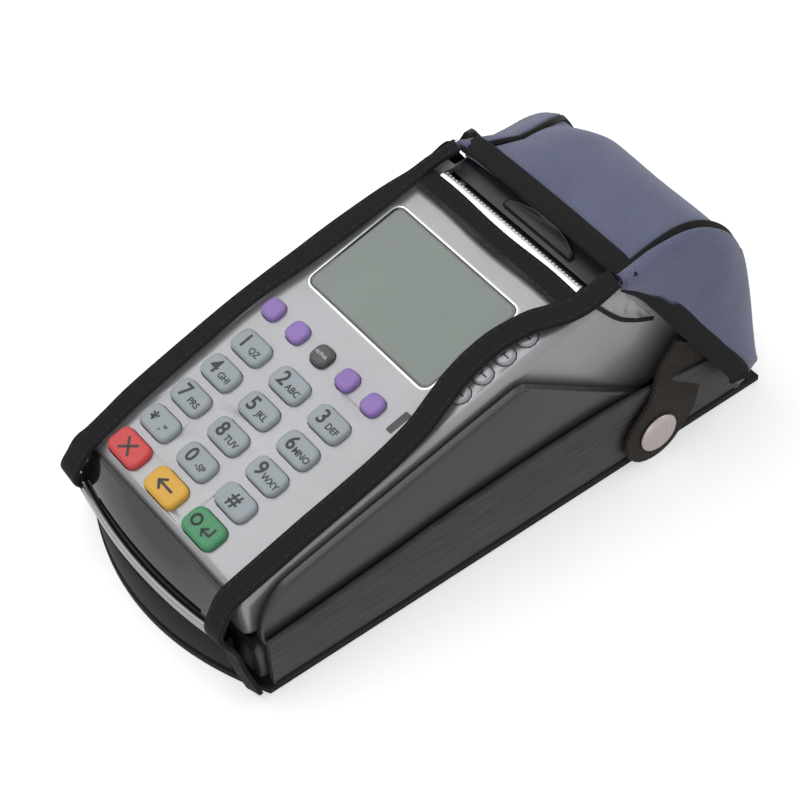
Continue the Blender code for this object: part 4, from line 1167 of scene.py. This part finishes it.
def hoodSide(right, name):
    seam = hoodLine(hood["path"])
    edge = hoodLine(hood["front"], 8)
    seam = evenRoute(seam, 1.6)
    count = len(seam) - 1
    total = evenRoute(edge, sum((b - a).length for a, b in zip(edge, edge[1:])) / count)
    total = total[:len(seam)] + [total[-1]] * (len(seam) - len(total))
    sign = 1 if right else -1
    rows, uvs = [], []
    columns = 22
    for a, b in zip(seam, total):
        row = []
        for c in range(columns + 1):
            w = c / columns
            p = a.lerp(b, w)
            bulge = hood["bulge"] * sin(pi * w) + 0.25 * sin(p.x * 0.3) * sin(p.y * 0.22) * sin(pi * w)
            tuck = 0.9 * max(0, 1 - w * 9)
            x = hoodSideX(p.y, right, p.x) + sign * (bulge - tuck)
            sag = hoodSag(x, p.x, p.y)
            row.append(Vector((x, p.x, p.y - 1.2 * tuck * (p.y > 60) - sag)))
            uvs.append((p.x, p.y))
        rows.append(row)
    if right:
        rows = [list(reversed(row)) for row in rows]
        uvs = [uvs[r * (columns + 1) + columns - c] for r in range(len(rows)) for c in range(columns + 1)]
    piece = gridPiece(name, rows, "hood", "hood", (), uvs, hood["wall"])


hoodTop()
hoodSide(1, "hood_side_right")
hoodSide(0, "hood_side_left")


def bindLine(name, points, ups, wide, thick=1.9, body="hood"):
    joined = [Vector((*p, *u)) for p, u in zip(points, ups)]
    route = evenRoute(smoothRoute(joined, 10), 0.45)
    spots = [Vector(p[:3]) for p in route]
    normals = [Vector(p[3:6]).normalized() for p in route]
    return band(name, spots, normals, wide, thick, "tape", body, rib=0.07, corner=0.8)


def hoodBindings():
    y, z = hood["path"][0]
    left, right = hoodSideX(z, 0), hoodSideX(z, 1)
    points, ups = [], []
    for i in range(13):
        u = i / 12
        drop = 1.0 if i in (0, 12) else 0.0
        points.append(Vector((left + (right - left) * u, y + 2.9, z - 0.1 + 0.7 * sin(pi * u) - drop)))
        ups.append(Vector((0, -0.2, 1)))
    bindLine("hood_front_binding", points, ups, hood["binding"])
    for side, right in (("right", 1), ("left", 0)):
        sign = 1 if right else -1
        path = hoodLine(hood["path"])[::5]
        points, ups = [], []
        for i, p in enumerate(path):
            before, after = path[max(i - 1, 0)], path[min(i + 1, len(path) - 1)]
            way = (after - before).normalized()
            out = Vector((0, -way.y, way.x))
            up = (out + Vector((sign * 1.1, 0, 0))).normalized()
            x = hoodSideX(p.y, right, p.x) - sign * 0.9
            points.append(Vector((x, p.x, p.y - hoodSag(x, p.x, p.y))) + out * -1.1 - up * 0.5)
            ups.append(up)
        bindLine(f"hood_seam_binding_{side}", points, ups, hood["seamBinding"])
        line = hoodLine(hood["front"][:5], 3)
        points = [Vector((hoodSideX(p.y, right, p.x) + sign * 0.5, p.x + 1.6, p.y + 0.9)) for p in line]
        bindLine(f"hood_edge_binding_{side}", points, [Vector((sign, -0.1, 0.1))] * len(points),
                 hood["edgeBinding"], 1.7)
    hem, ups = [], []
    y, z = hood["path"][-1]
    for i in range(9):
        u = i / 8
        left, right = hoodSideX(z, 0, y), hoodSideX(z, 1, y)
        hem.append(Vector((left + (right - left) * u, y - 0.4, z + 2.0)))
        ups.append(Vector((0, 1, 0)))
    bindLine("hood_hem_binding", hem, ups, 6.0, 1.5)


hoodBindings()
print("hood built")

# ---- snap straps
strap = {"wide": 25.0, "thick": 1.5, "snap": (58.5, 12.4), "start": (81.0, 38.5), "caseX": (-49.1, 49.4),
         "gap": 1.3, "tuck": 3.7}


def strapPair(side, right):
    sign = 1 if right else -1
    way = Vector((0, strap["start"][0] - strap["snap"][0], strap["start"][1] - strap["snap"][1])).normalized()
    caseX = strap["caseX"][right]
    outX = hoodSideX(strap["start"][1], right) - sign * strap["tuck"]
    spots, ups, widths = [], [], []
    run = -strap["wide"] / 2 + 0.15
    while run < 31:
        share = min(max((run - 8) / 14.0, 0.0), 1.0)
        share = share * share * (3 - 2 * share)
        x = (caseX + sign * strap["gap"]) * (1 - share) + outX * share
        spots.append(Vector((x, *strap["snap"])) + way * run)
        ups.append(Vector((sign, 0, 0)))
        widths.append(2 * sqrt(max((strap["wide"] / 2) ** 2 - min(run, 0) ** 2, 1.5)))
        run += 0.5
    band(f"snap_strap_{side}", spots, ups, strap["wide"], strap["thick"], "webbing", "hood",
         (f"strap_{side}",), rib=0.12, ribEvery=2, corner=0.6, widths=widths)
    across = Vector((0, way.z, -way.y))
    line = [p + across * (w / 2 - 1.6) + Vector((sign * (strap["thick"] + 0.08), 0, 0))
            for p, w in zip(spots[6:], widths[6:])]
    other = [p - across * (w / 2 - 1.6) + Vector((sign * (strap["thick"] + 0.08), 0, 0))
             for p, w in zip(spots[6:], widths[6:])]
    sewAlong(f"strap_stitch_{side}", list(reversed(line)) + other, "hood")
    base = caseX + sign * (strap["gap"] + strap["thick"] + 0.15)
    rings = []
    for out, radius in ((0.0, 6.9), (0.35, 7.2), (0.8, 7.2), (1.25, 7.0), (1.6, 6.5), (1.85, 5.8),
                        (2.0, 4.4), (2.06, 2.2), (2.08, 0.4)):
        rings.append([Vector((base + sign * out, strap["snap"][0] + radius * cos(2 * pi * i / 48),
                              strap["snap"][1] + radius * sin(2 * pi * i / 48))) for i in range(48)])
    ringStack(f"snap_{side}", rings, "nickel", "hood", (f"snap_cap_{side}",), angle=50)


for side, right in (("right", 1), ("left", 0)):
    strapPair(side, right)

# ---- case walls, base and piping
case = {"left": -49.1, "right": 49.4, "rear": 106.0, "panel": 2.0, "base": 3.2,
        "top": [(-89.8, 23.0), (-45.7, 26.9), (-17.8, 29.8), (34.0, 31.7), (67.6, 28.8), (98.0, 24.0)]}


def caseSide(side, right):
    sign = 1 if right else -1
    outX = case["right"] if right else case["left"]
    top = evenRoute(hoodLine(case["top"]), 2.0)
    rings = []
    for x, inset in ((outX - sign * case["panel"], 0.0), (outX - sign * 0.5, 0.0), (outX, 0.5)):
        ring = [Vector((x, p.x, p.y - inset)) for p in top]
        ring += [Vector((x, top[-1].x - inset * (x == outX), case["base"] + 0.35)),
                 Vector((x, top[0].x, case["base"] + 0.35))]
        rings.append(ring)
    ringStack(f"case_panel_{side}", rings, "panel", "terminal", (f"case_side_{side}",),
              angle=50)
    spots = [Vector((outX - sign * 1.0, y, case["base"] + 0.1)) for y in range(-89, 99, 4)]
    bindLine(f"case_foot_piping_{side}", spots, [Vector((sign, 0, 0))] * len(spots), 2.6, 1.5, "terminal")


caseSide("right", 1)
caseSide("left", 0)


def caseBase():
    count = 40
    edge = []
    for i in range(count + 1):
        x = case["left"] + (case["right"] - case["left"]) * i / count
        edge.append(Vector((x, caseFrontEdge(x), 0)))
    outline = edge + [Vector((case["right"], case["rear"], 0)), Vector((case["left"], case["rear"], 0))]
    centre = Vector(((case["left"] + case["right"]) / 2, 0, 0))
    rings = []
    for z, inset in ((0.0, 0.6), (0.5, 0.0), (case["base"] - 0.5, 0.0), (case["base"], 0.6)):
        rings.append([Vector((p.x - (inset if p.x > centre.x else -inset),
                              p.y + (inset if p.y < 0 else -inset), z))
                      for p in outline])
    ringStack("case_floor", rings, "lining", "terminal", ("case_base",), angle=50)
    front = []
    for i in range(31):
        x = -40.0 + 77.0 * i / 30
        front.append([Vector((x, caseFrontEdge(x) + 0.4 + d, z)) for d, z in
                      ((0.3, 3.6), (0.0, 4.4), (0.0, 17.9), (0.4, 18.7), (1.6, 18.7), (2.0, 17.9),
                       (2.0, 3.6))])
    ringStack("case_front_wall", front, "lining", "terminal", ("case_front",), angle=50)


caseBase()
flap = {"from": -46.0, "to": 46.0, "y": (103.6, 101.9), "z": (3.3, 16.5), "bulge": 0.7, "thick": 0.9}


def rearFlap():
    # the strip of cloth that joins the hood's rear hem to the case's floor
    rows, uvs = [], []
    for i in range(13):
        w = i / 12
        z = flap["z"][0] + (flap["z"][1] - flap["z"][0]) * w
        y = flap["y"][0] + (flap["y"][1] - flap["y"][0]) * w + flap["bulge"] * sin(pi * w)
        rows.append([Vector((flap["from"] + (flap["to"] - flap["from"]) * c / 40, y, z)) for c in range(41)])
        uvs += [(p.x, p.z) for p in rows[-1]]
    piece = gridPiece("hood_rear_flap", rows, "lining", None, (), uvs, flap["thick"])
    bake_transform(piece)


rearFlap()
print("case built")
